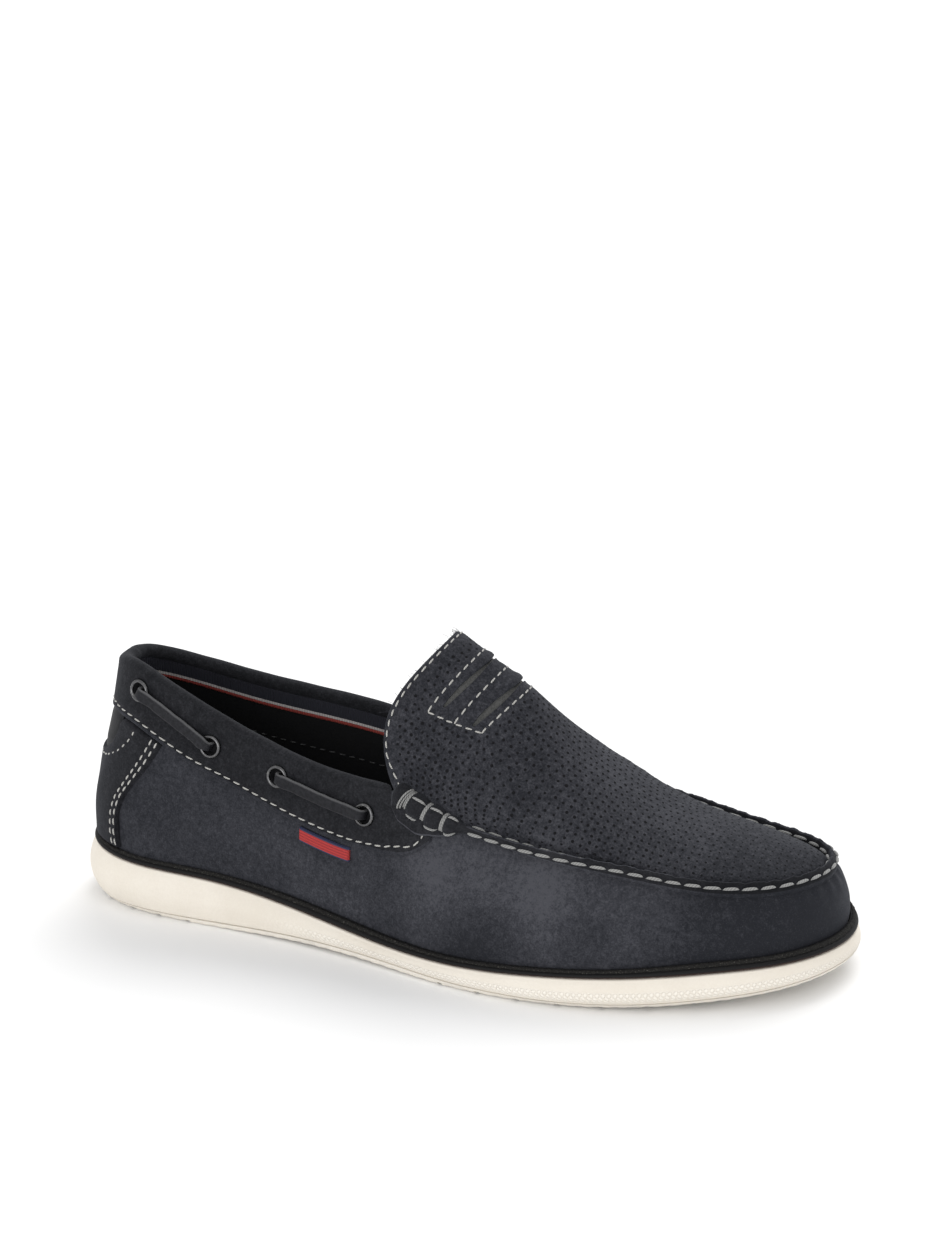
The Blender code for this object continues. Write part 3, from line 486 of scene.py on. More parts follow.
@dataclass
class Skin:
    """Closed skins gathered into one mesh, with a UV map in millimetres and a finish for each face."""

    name: str
    finishes: list[Material]
    sharp: float = 40.0
    points: list[Array] = field(default_factory=list)
    quads: list[Array] = field(default_factory=list)
    flats: list[Array] = field(default_factory=list)
    slots: list[Array] = field(default_factory=list)
    marks: dict[str, list[Array]] = field(default_factory=dict)
    count: int = 0

    def tubes(self, sections: Array, wrap: bool = False, slot: int | Array = 0, **marks: Array) -> "Skin":
        """Adds skins through closed sections: quads between neighbours, and rungs across both ends.

        Args:
            sections: points by skin, section and place round it; a single skin may leave out the first axis.
            wrap: whether the last section joins the first.
            slot: the finish's number, or one for each place round the section.
            marks: named numbers at the points, for the finishes to read.

        Returns:
            This skin.
        """
        sections = sections if sections.ndim == 4 else sections[None]
        many, rows, around = sections.shape[:3]
        index = np.arange(many * rows * around).reshape(many, rows, around)
        ring = np.concatenate([index, index[:, :, :1]], axis=2)
        ring = np.concatenate([ring, ring[:, :1]], axis=1) if wrap else ring
        flat = sections.reshape(-1, 3)
        u = lengths(np.moveaxis(flat[ring], 1, 2)).mean(axis=1)
        v = lengths(flat[ring])
        uv = np.stack([np.broadcast_to(u[:, :, None], v.shape), v], axis=-1)
        last, turns = ring.shape[1] - 1, ((0, 0), (1, 0), (1, 1), (0, 1))
        corner = [(slice(None), slice(a, a + last), slice(b, b + around)) for a, b in turns]
        quads = np.stack([ring[c] for c in corner], axis=-1)
        spread = np.stack([uv[c] for c in corner], axis=-2)
        numbers = np.broadcast_to(slot, quads.shape[:3]).reshape(-1)
        quads, spread = quads.reshape(-1, 4), spread.reshape(-1, 4, 2)
        if not wrap:
            ends = np.concatenate([cap_quads(index[:, 0]), cap_quads(index[:, -1])[..., ::-1]]).reshape(-1, 4)
            place = np.stack([u[:, :1, None] + 0 * v[:, :1, :-1], v[:, :1, :-1]], axis=-1)
            place = np.broadcast_to(place, (many, rows, around, 2)).reshape(-1, 2)
            quads, spread = np.concatenate([quads, ends]), np.concatenate([spread, place[ends]])
            numbers = np.concatenate([numbers, np.full(len(ends), np.ravel(slot)[0])])
        a, b, c, d = np.moveaxis(flat[quads] - flat.mean(axis=0), 1, 0)
        volume = (a * np.cross(b, c)).sum() + (a * np.cross(c, d)).sum()
        if volume < 0:
            quads, spread = quads[:, ::-1], spread[:, ::-1]
        self.points.append(flat)
        self.quads.append(quads + self.count)
        self.flats.append(spread)
        self.slots.append(numbers)
        self.count += len(flat)
        for name, value in marks.items():
            self.marks.setdefault(name, []).append(np.broadcast_to(value, sections.shape[:3]).reshape(-1))
        return self

    def build(self, slot: str, *replaces: str) -> bpy.types.Object:
        """Makes the piece, rides it on the shoe and hides the solids that it stands for.

        Args:
            slot: the record's material slot; not used.
            replaces: the CAD nodes that the piece stands for.

        Returns:
            The finished object, at the origin.
        """
        points, quads = into_frame(self.points), np.concatenate(self.quads)
        mesh = bpy.data.meshes.new(self.name)
        mesh.vertices.add(len(points))
        mesh.vertices.foreach_set("co", points.astype(np.float32).ravel())
        mesh.loops.add(quads.size)
        mesh.loops.foreach_set("vertex_index", quads.astype(np.int32).ravel())
        mesh.polygons.add(len(quads))
        mesh.polygons.foreach_set("loop_start", np.arange(0, quads.size, 4, dtype=np.int32))
        mesh.update(calc_edges=True)
        mesh.polygons.foreach_set("material_index", np.concatenate(self.slots).astype(np.int32))
        flats = np.concatenate(self.flats).astype(np.float32).ravel()
        mesh.uv_layers.new(name="flat").data.foreach_set("uv", flats)
        for name, values in self.marks.items():
            made = mesh.attributes.new(name, "FLOAT", "POINT")
            made.data.foreach_set("value", np.concatenate(values).astype(np.float32))
        mesh.shade_smooth()
        mesh.set_sharp_from_angle(angle=math.radians(self.sharp))
        for finish in self.finishes:
            mesh.materials.append(finish)
        mesh.validate(clean_customdata=False)
        piece = linked(self.name, mesh)
        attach(piece, "root")
        if replaces:
            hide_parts(*replaces)
        LOG.info("%s: %d faces", self.name, len(quads))
        return piece

    def carve(self, piece: bpy.types.Object) -> None:
        """Cuts these skins out of a piece for good, with an exact Boolean.

        Args:
            piece: the piece to cut.
        """
        tool = linked(self.name, bpy.data.meshes.new(self.name))
        tool.data.from_pydata(into_frame(self.points).tolist(), [], np.concatenate(self.quads).tolist())
        for finish in self.finishes:
            tool.data.materials.append(finish)
        step = piece.modifiers.new("carve", "BOOLEAN")
        step.operation, step.solver, step.object = "DIFFERENCE", "EXACT", tool
        step.material_mode = "TRANSFER"
        whole = bpy.data.meshes.new_from_object(piece.evaluated_get(bpy.context.evaluated_depsgraph_get()))
        piece.modifiers.remove(step)
        piece.data = whole
        bpy.data.objects.remove(tool)


@dataclass(frozen=True)
class StitchRun:
    """A running stitch of thick thread: tapered dashes that dive into the leather at both ends."""

    dash: float = 3.0
    gap: float = 1.15
    width: float = 0.62
    height: float = 0.5
    slant: float = 0.25
    sink: float = 0.22
    steps: int = 11
    sides: int = 8

    def dashes(self, line: Array, out: Array, seed: int) -> Array:
        """Sections of the dashes: ellipses on the line, lifted as a low arch, thin at the ends.

        Args:
            line: points along the stitch line.
            out: the leather's unit normals there.
            seed: for the small differences between dashes.

        Returns:
            Points by dash, section and place round it.
        """
        chance = np.random.default_rng(seed)
        run = lengths(line)
        count = max(1, round((run[-1] + self.gap) / (self.dash + self.gap)))
        pitch = (run[-1] + self.gap) / count
        w = np.linspace(0.0, 1.0, self.steps)
        start = np.arange(count)[:, None] * pitch + chance.normal(0, 0.06, (count, 1)) * self.gap
        at = start + w[None] * (pitch - self.gap) * (1 + chance.normal(0, 0.03, (count, 1)))
        centre, up = along_line(at, run, line), unit(along_line(at, run, out))
        side = unit(np.cross(up, unit(np.gradient(centre, axis=1))))
        from_middle = 2 * w - 1
        belly = np.clip(1 - np.abs(from_middle) ** 2.6, 0.0, 1.0) ** 0.6 * 0.85 + 0.15
        lift = self.height * 0.22 * (1 - from_middle**2) - self.sink * from_middle**6
        slide = (w - 0.5) * self.slant + chance.normal(0, 0.04, (count, 1)) * self.width
        centre = centre + up * lift[None, :, None] + side * slide[..., None]
        ring = spokes(self.sides, side * self.width / 2, up * self.height / 2)
        return centre[:, :, None] + ring * belly[None, :, None, None]


def cord_sections(line: Array, out: Array, radius: float, sides: int = 8) -> Array:
    """Round sections of one radius along a line, from a direction across it at each point."""
    ahead = unit(np.gradient(line, axis=0))
    side = unit(np.cross(out, ahead))
    return line[:, None] + spokes(sides, side, np.cross(ahead, side)) * radius


# --- finishes ----------------------------------------------------------------------------------------------


def operator(operation: str, turned: bool = False) -> Callable[["Wire", "Wire | float"], "Wire"]:
    """A method that adds a Math node on a value and another, or on the two turned round."""

    def method(self: "Wire", other: "Wire | float") -> "Wire":
        """The node's value."""
        return self.math(operation, *((other, self) if turned else (self, other)))

    return method


class Wire:
    """A shader value: Python's operators on it add Math nodes."""

    def __init__(self, graph: "Graph", socket: bpy.types.NodeSocket) -> None:
        """Keeps the socket and the graph that it is in."""
        self.graph, self.socket = graph, socket

    def math(self, operation: str, *values: "Wire | float") -> "Wire":
        """One Math node on these values."""
        return self.graph.node("ShaderNodeMath", {"operation": operation}, dict(enumerate(values)))

    __add__ = __radd__ = operator("ADD")
    __sub__, __rsub__ = operator("SUBTRACT"), operator("SUBTRACT", True)
    __mul__ = operator("MULTIPLY")
    least, most = operator("MINIMUM"), operator("MAXIMUM")

    def size(self) -> "Wire":
        """The value without its sign."""
        return self.math("ABSOLUTE", self)

    def sine(self, rate: float) -> "Wire":
        """The sine of the value times a rate, in radians."""
        return self.math("SINE", self * rate)

    def rib(self, rate: float) -> "Wire":
        """Soft ribs at a rate, from 0 between them to 1 on their crests."""
        return self.sine(rate) * 0.5 + 0.5

    def step(self, low: float, high: float) -> "Wire":
        """A soft step from 0 at low to 1 at high."""
        given = {"Value": self, "From Min": low, "From Max": high}
        return self.graph.node("ShaderNodeMapRange", {"interpolation_type": "SMOOTHSTEP"}, given)


class Graph:
    """The nodes of one finish."""

    def __init__(self, name: str) -> None:
        """Starts an empty material.

        Args:
            name: the material's name.
        """
        self.material = bpy.data.materials.new(name)
        self.material.use_nodes = True
        self.tree = self.material.node_tree
        self.tree.nodes.clear()

    def node(
        self, kind: str, settings: dict | None = None, inputs: dict | None = None, out: int | str = 0
    ) -> Wire:
        """Adds one node.

        Args:
            kind: the node's type.
            settings: its own settings, set first.
            inputs: numbers, colours or wires for its sockets, by name or number.
            out: the output to hand back.

        Returns:
            The output, as a wire.
        """
        made = self.tree.nodes.new(kind)
        for name, value in (settings or {}).items():
            setattr(made, name, value)
        for key, value in (inputs or {}).items():
            if isinstance(value, Wire):
                self.tree.links.new(value.socket, made.inputs[key])
            else:
                made.inputs[key].default_value = value
        return Wire(self, made.outputs[out])

    def place(self) -> Wire:
        """The point in the shoe's own frame, in metres."""
        return self.node("ShaderNodeTexCoord", out="Object")

    def flat(self, axis: str) -> Wire:
        """One coordinate of the piece's own map, in millimetres."""
        uv = self.node("ShaderNodeUVMap", {"uv_map": "flat"})
        return self.node("ShaderNodeSeparateXYZ", inputs={"Vector": uv}, out=axis)

    def mark(self, name: str) -> Wire:
        """A number kept at the piece's points."""
        return self.node("ShaderNodeAttribute", {"attribute_name": name}, out="Fac")

    def noise(self, size: float, detail: float = 3.0, rough: float = 0.5) -> Wire:
        """Cloudy noise whose patches are about size millimetres across, from 0 to 1."""
        given = {"Vector": self.place(), "Scale": 1.0 / (size * MM), "Detail": detail, "Roughness": rough}
        return self.node("ShaderNodeTexNoise", None, given)

    def cells(self, size: float) -> Wire:
        """Distance to the nearest of scattered points about size millimetres apart."""
        given = {"Vector": self.place(), "Scale": 1.0 / (size * MM)}
        return self.node("ShaderNodeTexVoronoi", {"feature": "F1"}, given, out="Distance")

    def near(self, spot: tuple[float, ...], reach: float) -> Wire:
        """1 at a spot given in millimetres from the heel, falling softly to 0 at its reach."""
        given = {0: self.place(), 1: tuple((np.array(spot) - DATUM) * MM)}
        away = self.node("ShaderNodeVectorMath", {"operation": "DISTANCE"}, given, out="Value")
        return 1.0 - away.step(0.0, reach * MM)

    def mix(self, share: Wire, first: Wire | Colour, second: Wire | Colour) -> Wire:
        """A colour between two: the first at share 0, the second at share 1."""
        given = [c if isinstance(c, Wire) else (*c, 1.0) for c in (first, second)]
        return self.node("ShaderNodeMix", {"data_type": "RGBA"}, {0: share, 6: given[0], 7: given[1]}, out=2)

    def bump(self, height: Wire, deep: float, strength: float, under: Wire | None = None) -> Wire:
        """A normal from a height from 0 to 1.

        Args:
            height: the height.
            deep: the millimetres that a height of 1 stands for.
            strength: how much of it shows.
            under: a normal to lay it over.

        Returns:
            The normal.
        """
        given = {"Height": height, "Distance": deep * MM, "Strength": strength}
        if under is not None:
            given["Normal"] = under
        return self.node("ShaderNodeBump", None, given)

    def done(self, **surface: Wire | Colour | float) -> Material:
        """Closes the graph with a Principled shader.

        Args:
            surface: values for its sockets, named with _ for a space.

        Returns:
            The material.
        """
        given = {name.replace("_", " "): value for name, value in surface.items()}
        given = {k: (*v, 1.0) if isinstance(v, tuple) else v for k, v in given.items()}
        shader = self.node("ShaderNodeBsdfPrincipled", None, given)
        output = self.tree.nodes.new("ShaderNodeOutputMaterial")
        self.tree.links.new(shader.socket, output.inputs["Surface"])
        return self.material


TURN = 2 * math.pi


class Nap(Enum):
    """How a nubuck face was left, and how much lighter that makes it: brushed smooth, rubbed, or cut raw."""

    BRUSHED = 0.0
    RUBBED = 0.16
    RAW = -0.22


NAP_AND_PAINTED_LIGHT = (
    # x, y, z and reach of a soft place in the nubuck, and how much lighter it makes the leather: partly
    # brushed nap, partly painted light and shade, such as the toe painted darker where it faces from the
    # light
    (168.0, -43.0, 38.0, 34.0, 0.55),
    (202.0, -44.0, 38.0, 32.0, 0.50),
    (240.0, -36.0, 37.0, 26.0, 0.30),
    (178.0, -48.0, 20.0, 30.0, -0.55),
    (220.0, -45.0, 26.0, 18.0, -0.15),
    (258.0, -38.0, 20.0, 34.0, -0.40),
    (290.0, -4.0, 27.0, 50.0, -0.62),
    (50.0, -30.0, 40.0, 60.0, -0.15),
    (225.0, 0.0, 62.0, 46.0, 0.30),
    (275.0, 0.0, 46.0, 26.0, 0.20),
    (160.0, 0.0, 108.0, 50.0, -0.15),
)


@dataclass(frozen=True)
class Nubuck:
    """Buffed leather: dark blue grey, clouded where the nap lies over and at listed places that are partly
    brushed nap and partly painted light and shade, with a fine speckled grain.
    """

    name: str
    nap: Nap = Nap.BRUSHED
    shade: float = 1.0
    coarse: float = 1.15
    deep: Colour = (0.012, 0.013, 0.017)
    tone: Colour = (0.046, 0.047, 0.056)
    light: Colour = (0.115, 0.117, 0.130)
    pile: float = 0.20
    raw_pile: float = 0.32

    def make(self) -> Material:
        """Clouds at listed places and at two sizes choose the tone, and fine noise speckles it and raises the
        nap.

        Returns:
            The material.
        """
        g = Graph(self.name)
        cloud = g.noise(30.0, 3.0, 0.55).step(0.34, 0.68)
        patch = g.noise(7.0, 4.0, 0.6).step(0.32, 0.70)
        fibre = g.noise(0.7, 5.0, 0.78)
        speck = g.noise(2.0, 4.0, 0.70)
        # Listed places: brushed nap mixed with painted light and shade, such as the toe painted darker where
        # it faces from the light.
        placed = sum(g.near(row[:3], row[3]) * row[4] for row in NAP_AND_PAINTED_LIGHT)
        grain = ((fibre - 0.5) * 1.7 + (speck - 0.5) * 1.3) * self.coarse
        share = (placed + cloud * 0.24 + patch * 0.12 + grain + 0.25 + self.nap.value).most(0.0).least(1.0)
        colours = (self.deep, self.tone, self.light)
        deep, tone, light = (tuple(c * self.shade for c in colour) for colour in colours)
        glint = (g.noise(0.3, 2.0, 0.6).step(0.58, 0.80) * 0.40 + (share - 0.6).most(0.0) * 0.35).least(1.0)
        pile = self.raw_pile if self.nap is Nap.RAW else self.pile
        return g.done(
            Base_Color=g.mix(glint, g.mix(share, deep, tone), light),
            Roughness=0.94 - fibre * 0.08,
            Normal=g.bump(fibre * 0.6 + speck * 0.4, pile, 0.9),
            Sheen_Weight=0.06,
            Sheen_Roughness=0.5,
            Sheen_Tint=(0.62, 0.66, 0.78),
            Specular_IOR_Level=0.18,
        )


@dataclass(frozen=True)
class SmoothLeather:
    """Finished leather with a low pebbled grain and a soft shine."""

    name: str
    tone: Colour
    dark: Colour
    rough: float = 0.55
    grain: float = 0.9
    shine: float = 0.3

    def make(self) -> Material:
        """Rounded cells make the grain, and a slow cloud wears the colour.

        Returns:
            The material.
        """
        g = Graph(self.name)
        cell = g.cells(self.grain).step(0.0, 0.75)
        cloud = g.noise(12.0, 3.0, 0.55)
        return g.done(
            Base_Color=g.mix((cell * 0.35 + cloud * 0.65).step(0.3, 0.8), self.dark, self.tone),
            Roughness=self.rough + cloud * 0.18,
            Normal=g.bump(cell * 0.6 + g.noise(0.5, 3.0, 0.6) * 0.4, 0.07, 0.7),
            Specular_IOR_Level=self.shine,
        )


@dataclass(frozen=True)
class Lining:
    """Black textile lining with a fine twill."""

    name: str = "lining_twill"
    tone: Colour = (0.0045, 0.0048, 0.0050)
    light: Colour = (0.012, 0.012, 0.013)
    rate: float = 7.0

    def make(self) -> Material:
        """Diagonal ribs on the piece's own map, broken by noise.

        Returns:
            The material.
        """
        g = Graph(self.name)
        rib = (g.flat("X") + g.flat("Y")).rib(self.rate)
        return g.done(
            Base_Color=g.mix(rib * 0.45 + g.noise(3.0, 3.0, 0.6) * 0.4, self.tone, self.light),
            Roughness=0.85 + rib * 0.08,
            Normal=g.bump(rib, 0.05, 0.6),
            Specular_IOR_Level=0.12,
        )


@dataclass(frozen=True)
class Grosgrain:
    """Ribbed navy tape with a pale line and a brick line along its lower edge."""

    name: str = "ribbed_tape"
    navy: Colour = (0.010, 0.011, 0.020)
    dark: Colour = (0.004, 0.0045, 0.009)
    brick: Colour = (0.30, 0.040, 0.030)
    dark_brick: Colour = (0.12, 0.02, 0.018)
    pale: Colour = (0.46, 0.43, 0.42)
    dull_pale: Colour = (0.20, 0.19, 0.19)
    pitch: float = 1.05

    def make(self) -> Material:
        """Ribs run across the tape, and the lines follow its own lower edge.

        Returns:
            The material.
        """
        g = Graph(self.name)
        rib = g.flat("X").rib(TURN / self.pitch)
        low = g.mark("low_edge")
        pale = low.step(1.55, 1.75) * (1.0 - low.step(2.55, 2.75))
        brick = 1.0 - low.step(1.45, 1.65)
        colour = g.mix(rib * 0.6 + g.noise(0.6, 3.0) * 0.5, self.dark, self.navy)
        colour = g.mix(brick, colour, g.mix(rib * 0.5, self.brick, self.dark_brick))
        colour = g.mix(pale, colour, g.mix(rib * 0.5, self.pale, self.dull_pale))
        return g.done(Base_Color=colour, Roughness=0.78 + rib * 0.1, Normal=g.bump(rib, 0.16, 0.9))


@dataclass(frozen=True)
class CreamRubber:
    """Cream moulded sole rubber, smooth above and studded with fine diamonds where the mark says, their
    crests painted paler as a highlight.
    """

    name: str = "cream_rubber"
    tone: Colour = (0.72, 0.665, 0.58)
    pale: Colour = (0.78, 0.73, 0.65)
    crest: Colour = (0.88, 0.84, 0.77)
    pitch: float = 5.2
    lean: float = 1.25
    dot_pitch: float = 1.9

    def make(self) -> Material:
        """Two crossing waves on the piece's own map stand up as diamonds.

        Returns:
            The material.
        """
        g = Graph(self.name)
        u, v = g.flat("X"), g.flat("Y")
        rate = TURN / self.pitch
        diamond = (u + v * self.lean).sine(rate) * (u - v * self.lean).sine(rate)
        stud = diamond.size().step(0.05, 0.55) * g.mark("studs")
        raised = (stud + u.sine(TURN / self.dot_pitch).step(0.1, 0.8) * g.mark("dots")).least(1.0)
        speck = g.noise(0.8, 4.0, 0.6)
        colour = g.mix((g.noise(22.0, 4.0, 0.6) * 0.6 + speck * 0.4).step(0.3, 0.72), self.tone, self.pale)
        return g.done(
            # Raised diamonds and dots are mixed towards the pale crest colour: painted highlight.
            Base_Color=g.mix(raised * 0.60, colour, self.crest),
            Roughness=0.55 + speck * 0.15,
            Normal=g.bump(raised, 0.22, 0.8, g.bump(speck, 0.03, 0.5)),
            Specular_IOR_Level=0.4,
        )


@dataclass(frozen=True)
class TreadRubber:
    """Paler, greyer wearing layer under the sole, lightly scuffed."""

    name: str = "tread_rubber"
    tone: Colour = (0.80, 0.755, 0.68)
    worn: Colour = (0.66, 0.63, 0.575)

    def make(self) -> Material:
        """Clouds of scuffing and a fine moulded texture.

        Returns:
            The material.
        """
        g = Graph(self.name)
        speck = g.noise(0.7, 3.0, 0.6)
        colour = g.mix(g.noise(16.0, 5.0, 0.65).step(0.42, 0.72) * 0.7, self.tone, self.worn)
        return g.done(Base_Color=colour, Roughness=0.6 + speck * 0.2, Normal=g.bump(speck, 0.06, 0.6))


@dataclass(frozen=True)
class BlackRubber:
    """Black rand rubber: a satin tube, brown where it meets the sole, under a crinkled matte lip whose
    lighter grey is partly painted light.
    """

    name: str = "black_rubber"
    tone: Colour = (0.0070, 0.0068, 0.0072)
    matte_and_painted_light: Colour = (0.0130, 0.0125, 0.0120)
    dust_and_glint: Colour = (0.125, 0.120, 0.105)
    brown: Colour = (0.055, 0.026, 0.020)

    def make(self) -> Material:
        """The lip and the tube's foot are marked at the points, and the lip's crinkle carries pale specks,
        partly dust and partly painted glints.

        Returns:
            The material.
        """
        g = Graph(self.name)
        lip, foot = g.mark("lip"), g.mark("foot")
        crinkle = g.cells(1.1).step(0.15, 0.6)
        grain = g.noise(0.45, 4.0, 0.7)
        # The lip's lighter grey is partly matte rubber and partly painted light on its upward face.
        colour = g.mix(lip, self.tone, self.matte_and_painted_light)
        colour = g.mix((foot * (g.noise(9.0, 3.0, 0.6) + 0.4)).least(1.0), colour, self.brown)
        # Pale specks on the crinkled lip: partly dust, partly painted glints.
        speck = grain.step(0.56, 0.70) * crinkle * lip + grain.step(0.62, 0.80) * 0.2
        return g.done(
            Base_Color=g.mix(speck.least(1.0), colour, self.dust_and_glint),
            Roughness=0.50 + grain * 0.15 + lip * 0.30,
            Normal=g.bump(grain * 0.25 + crinkle * lip * 0.9, 0.30, 0.9),
            Specular_IOR_Level=0.16,
        )


@dataclass(frozen=True)
class Thread:
    """Thick twisted thread: strands wind round it."""

    name: str
    tone: Colour = (0.52, 0.51, 0.48)
    dark: Colour = (0.20, 0.195, 0.185)
    twist: float = 0.85

    def make(self) -> Material:
        """Slanting strands on the piece's own map, darker between.

        Returns:
            The material.
        """
        g = Graph(self.name)
        strand = (g.flat("X") + g.flat("Y") * 0.8).rib(TURN / self.twist)
        fuzz = g.noise(0.35, 3.0, 0.6)
        return g.done(
            Base_Color=g.mix((strand * 0.75 + fuzz * 0.35).least(1.0), self.dark, self.tone),
            Roughness=0.75 + fuzz * 0.1,
            Normal=g.bump(strand, 0.10, 0.8),
            Sheen_Weight=0.2,
        )


@dataclass(frozen=True)
class Gunmetal:
    """Dark plated brass, polished on the crown and brushed round it."""

    name: str = "gunmetal"
    tone: Colour = (0.10, 0.10, 0.104)
    worn: Colour = (0.20, 0.198, 0.195)
    rate: float = 24.0

    def make(self) -> Material:
        """Fine rings of brushing and patches of wear.

        Returns:
            The material.
        """
        g = Graph(self.name)
        brush = g.flat("Y").rib(self.rate)
        wear = g.noise(1.4, 4.0, 0.65).step(0.45, 0.75)
        return g.done(
            Base_Color=g.mix(wear, self.tone, self.worn),
            Metallic=1.0,
            Roughness=0.20 + brush * 0.06 + wear * 0.10,
            Normal=g.bump(brush, 0.01, 0.3),
        )


@dataclass(frozen=True)
class ThongHide:
    """Waxed lace leather: satin on its face, pale and fuzzy along the cut edges, the upper edge paler with a
    painted highlight.
    """

    name: str = "thong_hide"
    tone: Colour = (0.018, 0.0185, 0.022)
    dark: Colour = (0.008, 0.0082, 0.010)
    cut: Colour = (0.125, 0.125, 0.130)

    def make(self) -> Material:
        """Streaks of wax on the face, and the cut edge marked at the points.

        Returns:
            The material.
        """
        g = Graph(self.name)
        streak = g.noise(1.2, 4.0, 0.65)
        fibre = g.noise(0.3, 3.0, 0.7)
        edge = g.mark("edge") * (0.55 + fibre * 0.7)
        return g.done(
            Base_Color=g.mix(edge.least(1.0), g.mix(streak.step(0.3, 0.7), self.dark, self.tone), self.cut),
            Roughness=0.48 + streak * 0.12 + edge * 0.2,
            Normal=g.bump(streak * 0.5 + fibre * 0.5, 0.10, 0.7),
            Specular_IOR_Level=0.13,
        )


@dataclass(frozen=True)
class WovenTape:
    """Plain brick-red woven loop with raised ribs and a navy selvedge."""

    name: str = "woven_loop"
    red: Colour = (0.42, 0.028, 0.026)
    shade: Colour = (0.20, 0.010, 0.012)
    navy: Colour = (0.020, 0.024, 0.065)
    pitch: float = 1.0
    weft_pitch: float = 0.55

    def make(self) -> Material:
        """Ribs along the tape with fine weft across them.

        Returns:
            The material.
        """
        g = Graph(self.name)
        weft = g.flat("X").rib(TURN / self.weft_pitch)
        weave = g.flat("Y").rib(TURN / self.pitch) * 0.7 + weft * 0.3
        rim = g.mark("selvedge").step(0.45, 0.55)
        colour = g.mix(rim, g.mix(weave.least(1.0), self.shade, self.red), self.navy)
        return g.done(Base_Color=colour, Roughness=0.75 + weft * 0.1, Normal=g.bump(weave, 0.18, 0.9))


@dataclass(frozen=True)
class HoleShade:
    """The dark inside of a punched hole or an eyelet's bore: painted shade over the black lining seen through
    it.
    """

    name: str = "hole_shade"
    dark: Colour = (0.0035, 0.0036, 0.0042)
    fibre: Colour = (0.012, 0.012, 0.014)

    def make(self) -> Material:
        """Nearly black, a little lighter where fibre stands in the hole.

        Returns:
            The material.
        """
        g = Graph(self.name)
        colour = g.mix(g.noise(0.4, 3.0, 0.6), self.dark, self.fibre)
        return g.done(Base_Color=colour, Roughness=0.95, Specular_IOR_Level=0.1)


class Finishes:
    """Every finish on the shoe, made once."""

    def __init__(self) -> None:
        """Makes the leathers, the linings, the rubbers, the threads, the metal and the woven tape."""
        self.nubuck = Nubuck("nubuck_navy").make()
        self.collar = Nubuck("nubuck_collar", shade=0.36, coarse=1.7).make()
        # The counter's nubuck is darkened partly as its own tone and partly as painted shade for the heel's
        # side that faces from the light.
        self.counter = Nubuck("nubuck_counter_shaded", shade=0.42, coarse=1.6).make()
        self.plug = Nubuck("nubuck_plug", shade=0.85, coarse=1.8).make()
        # The seam ridge's faces that turn from the light wear this darker copy of the nubuck: painted shade.
        self.seam = Nubuck("nubuck_seam_painted_shade", shade=0.35).make()
        self.rubbed = Nubuck("nubuck_rubbed", Nap.RUBBED).make()
        self.raw = Nubuck("nubuck_raw_edge", Nap.RAW).make()
        inlay = (0.082, 0.082, 0.080), (0.045, 0.046, 0.045)
        patch = (0.012, 0.0125, 0.015), (0.006, 0.0065, 0.008)
        sock = (0.016, 0.016, 0.017), (0.009, 0.009, 0.010)
        self.olive = SmoothLeather("inlay_leather", *inlay, grain=0.7, shine=0.2).make()
        self.patch = SmoothLeather("patch_leather", *patch, rough=0.50, grain=0.8, shine=0.14).make()
        self.sock = SmoothLeather("sock_leather", *sock, grain=1.1).make()
        self.lining = Lining().make()
        self.tape = Grosgrain().make()
        self.cream = CreamRubber().make()
        self.tread = TreadRubber().make()
        self.rand = BlackRubber().make()
        self.thread = Thread("pale_thread").make()
        self.waxed = Thread("waxed_thread", (0.29, 0.29, 0.285), (0.12, 0.12, 0.118), 1.1).make()
        self.dark_thread = Thread("lining_thread", (0.06, 0.06, 0.062), (0.02, 0.02, 0.021)).make()
        self.metal = Gunmetal().make()
        self.thong = ThongHide().make()
        self.woven = WovenTape().make()
        self.hole = HoleShade().make()


# --- the shoe's pieces -------------------------------------------------------------------------------------

BAND_LOW = (
    # place, drop of the band's lower edge
    (0.000, 20.5),
    (0.084, 21.0),
    (0.111, 22.5),
    (0.135, 23.5),
    (0.160, 24.5),
    (0.205, 25.5),
    (0.265, 24.0),
    (0.330, 24.5),
    (0.410, 25.5),
    (0.437, 25.0),
    (0.456, 22.5),
    (0.469, 19.0),
    (0.482, 14.0),
    (0.4925, 9.0),
)
BAND_STITCH = (
    # place, drop of the stitch inside the band's lower edge and up its front corner
    (0.000, 17.9),
    (0.084, 18.4),
    (0.111, 19.9),
    (0.135, 20.9),
    (0.160, 21.9),
    (0.205, 22.9),
    (0.265, 21.4),
    (0.330, 21.9),
    (0.410, 22.8),
    (0.437, 22.0),
    (0.449, 20.2),
    (0.461, 17.7),
    (0.473, 14.7),
    (0.482, 10.5),
    (0.486, 6.5),
)
LIP_LOW = (
    # place, drop of the lip's lower edge
    (0.4470, 2.0),
    (0.4485, 5.5),
    (0.452, 7.5),
    (0.459, 9.5),
    (0.474, 9.5),
    (0.492, 7.0),
    (0.508, 4.5),
    (0.519, 1.5),
)
PATCH_LOW = (
    # place, drop of the back patch's lower edge
    (0.000, 37.0),
    (0.050, 37.0),
    (0.076, 35.5),
    (0.094, 32.5),
    (0.106, 28.0),
    (0.112, 23.5),
)
PATCH_STITCH = (
    # place, drop of the stitch round the back patch
    (0.000, 39.5),
    (0.060, 39.5),
    (0.080, 39.0),
    (0.102, 37.0),
    (0.119, 33.5),
    (0.130, 30.0),
    (0.139, 25.5),
)
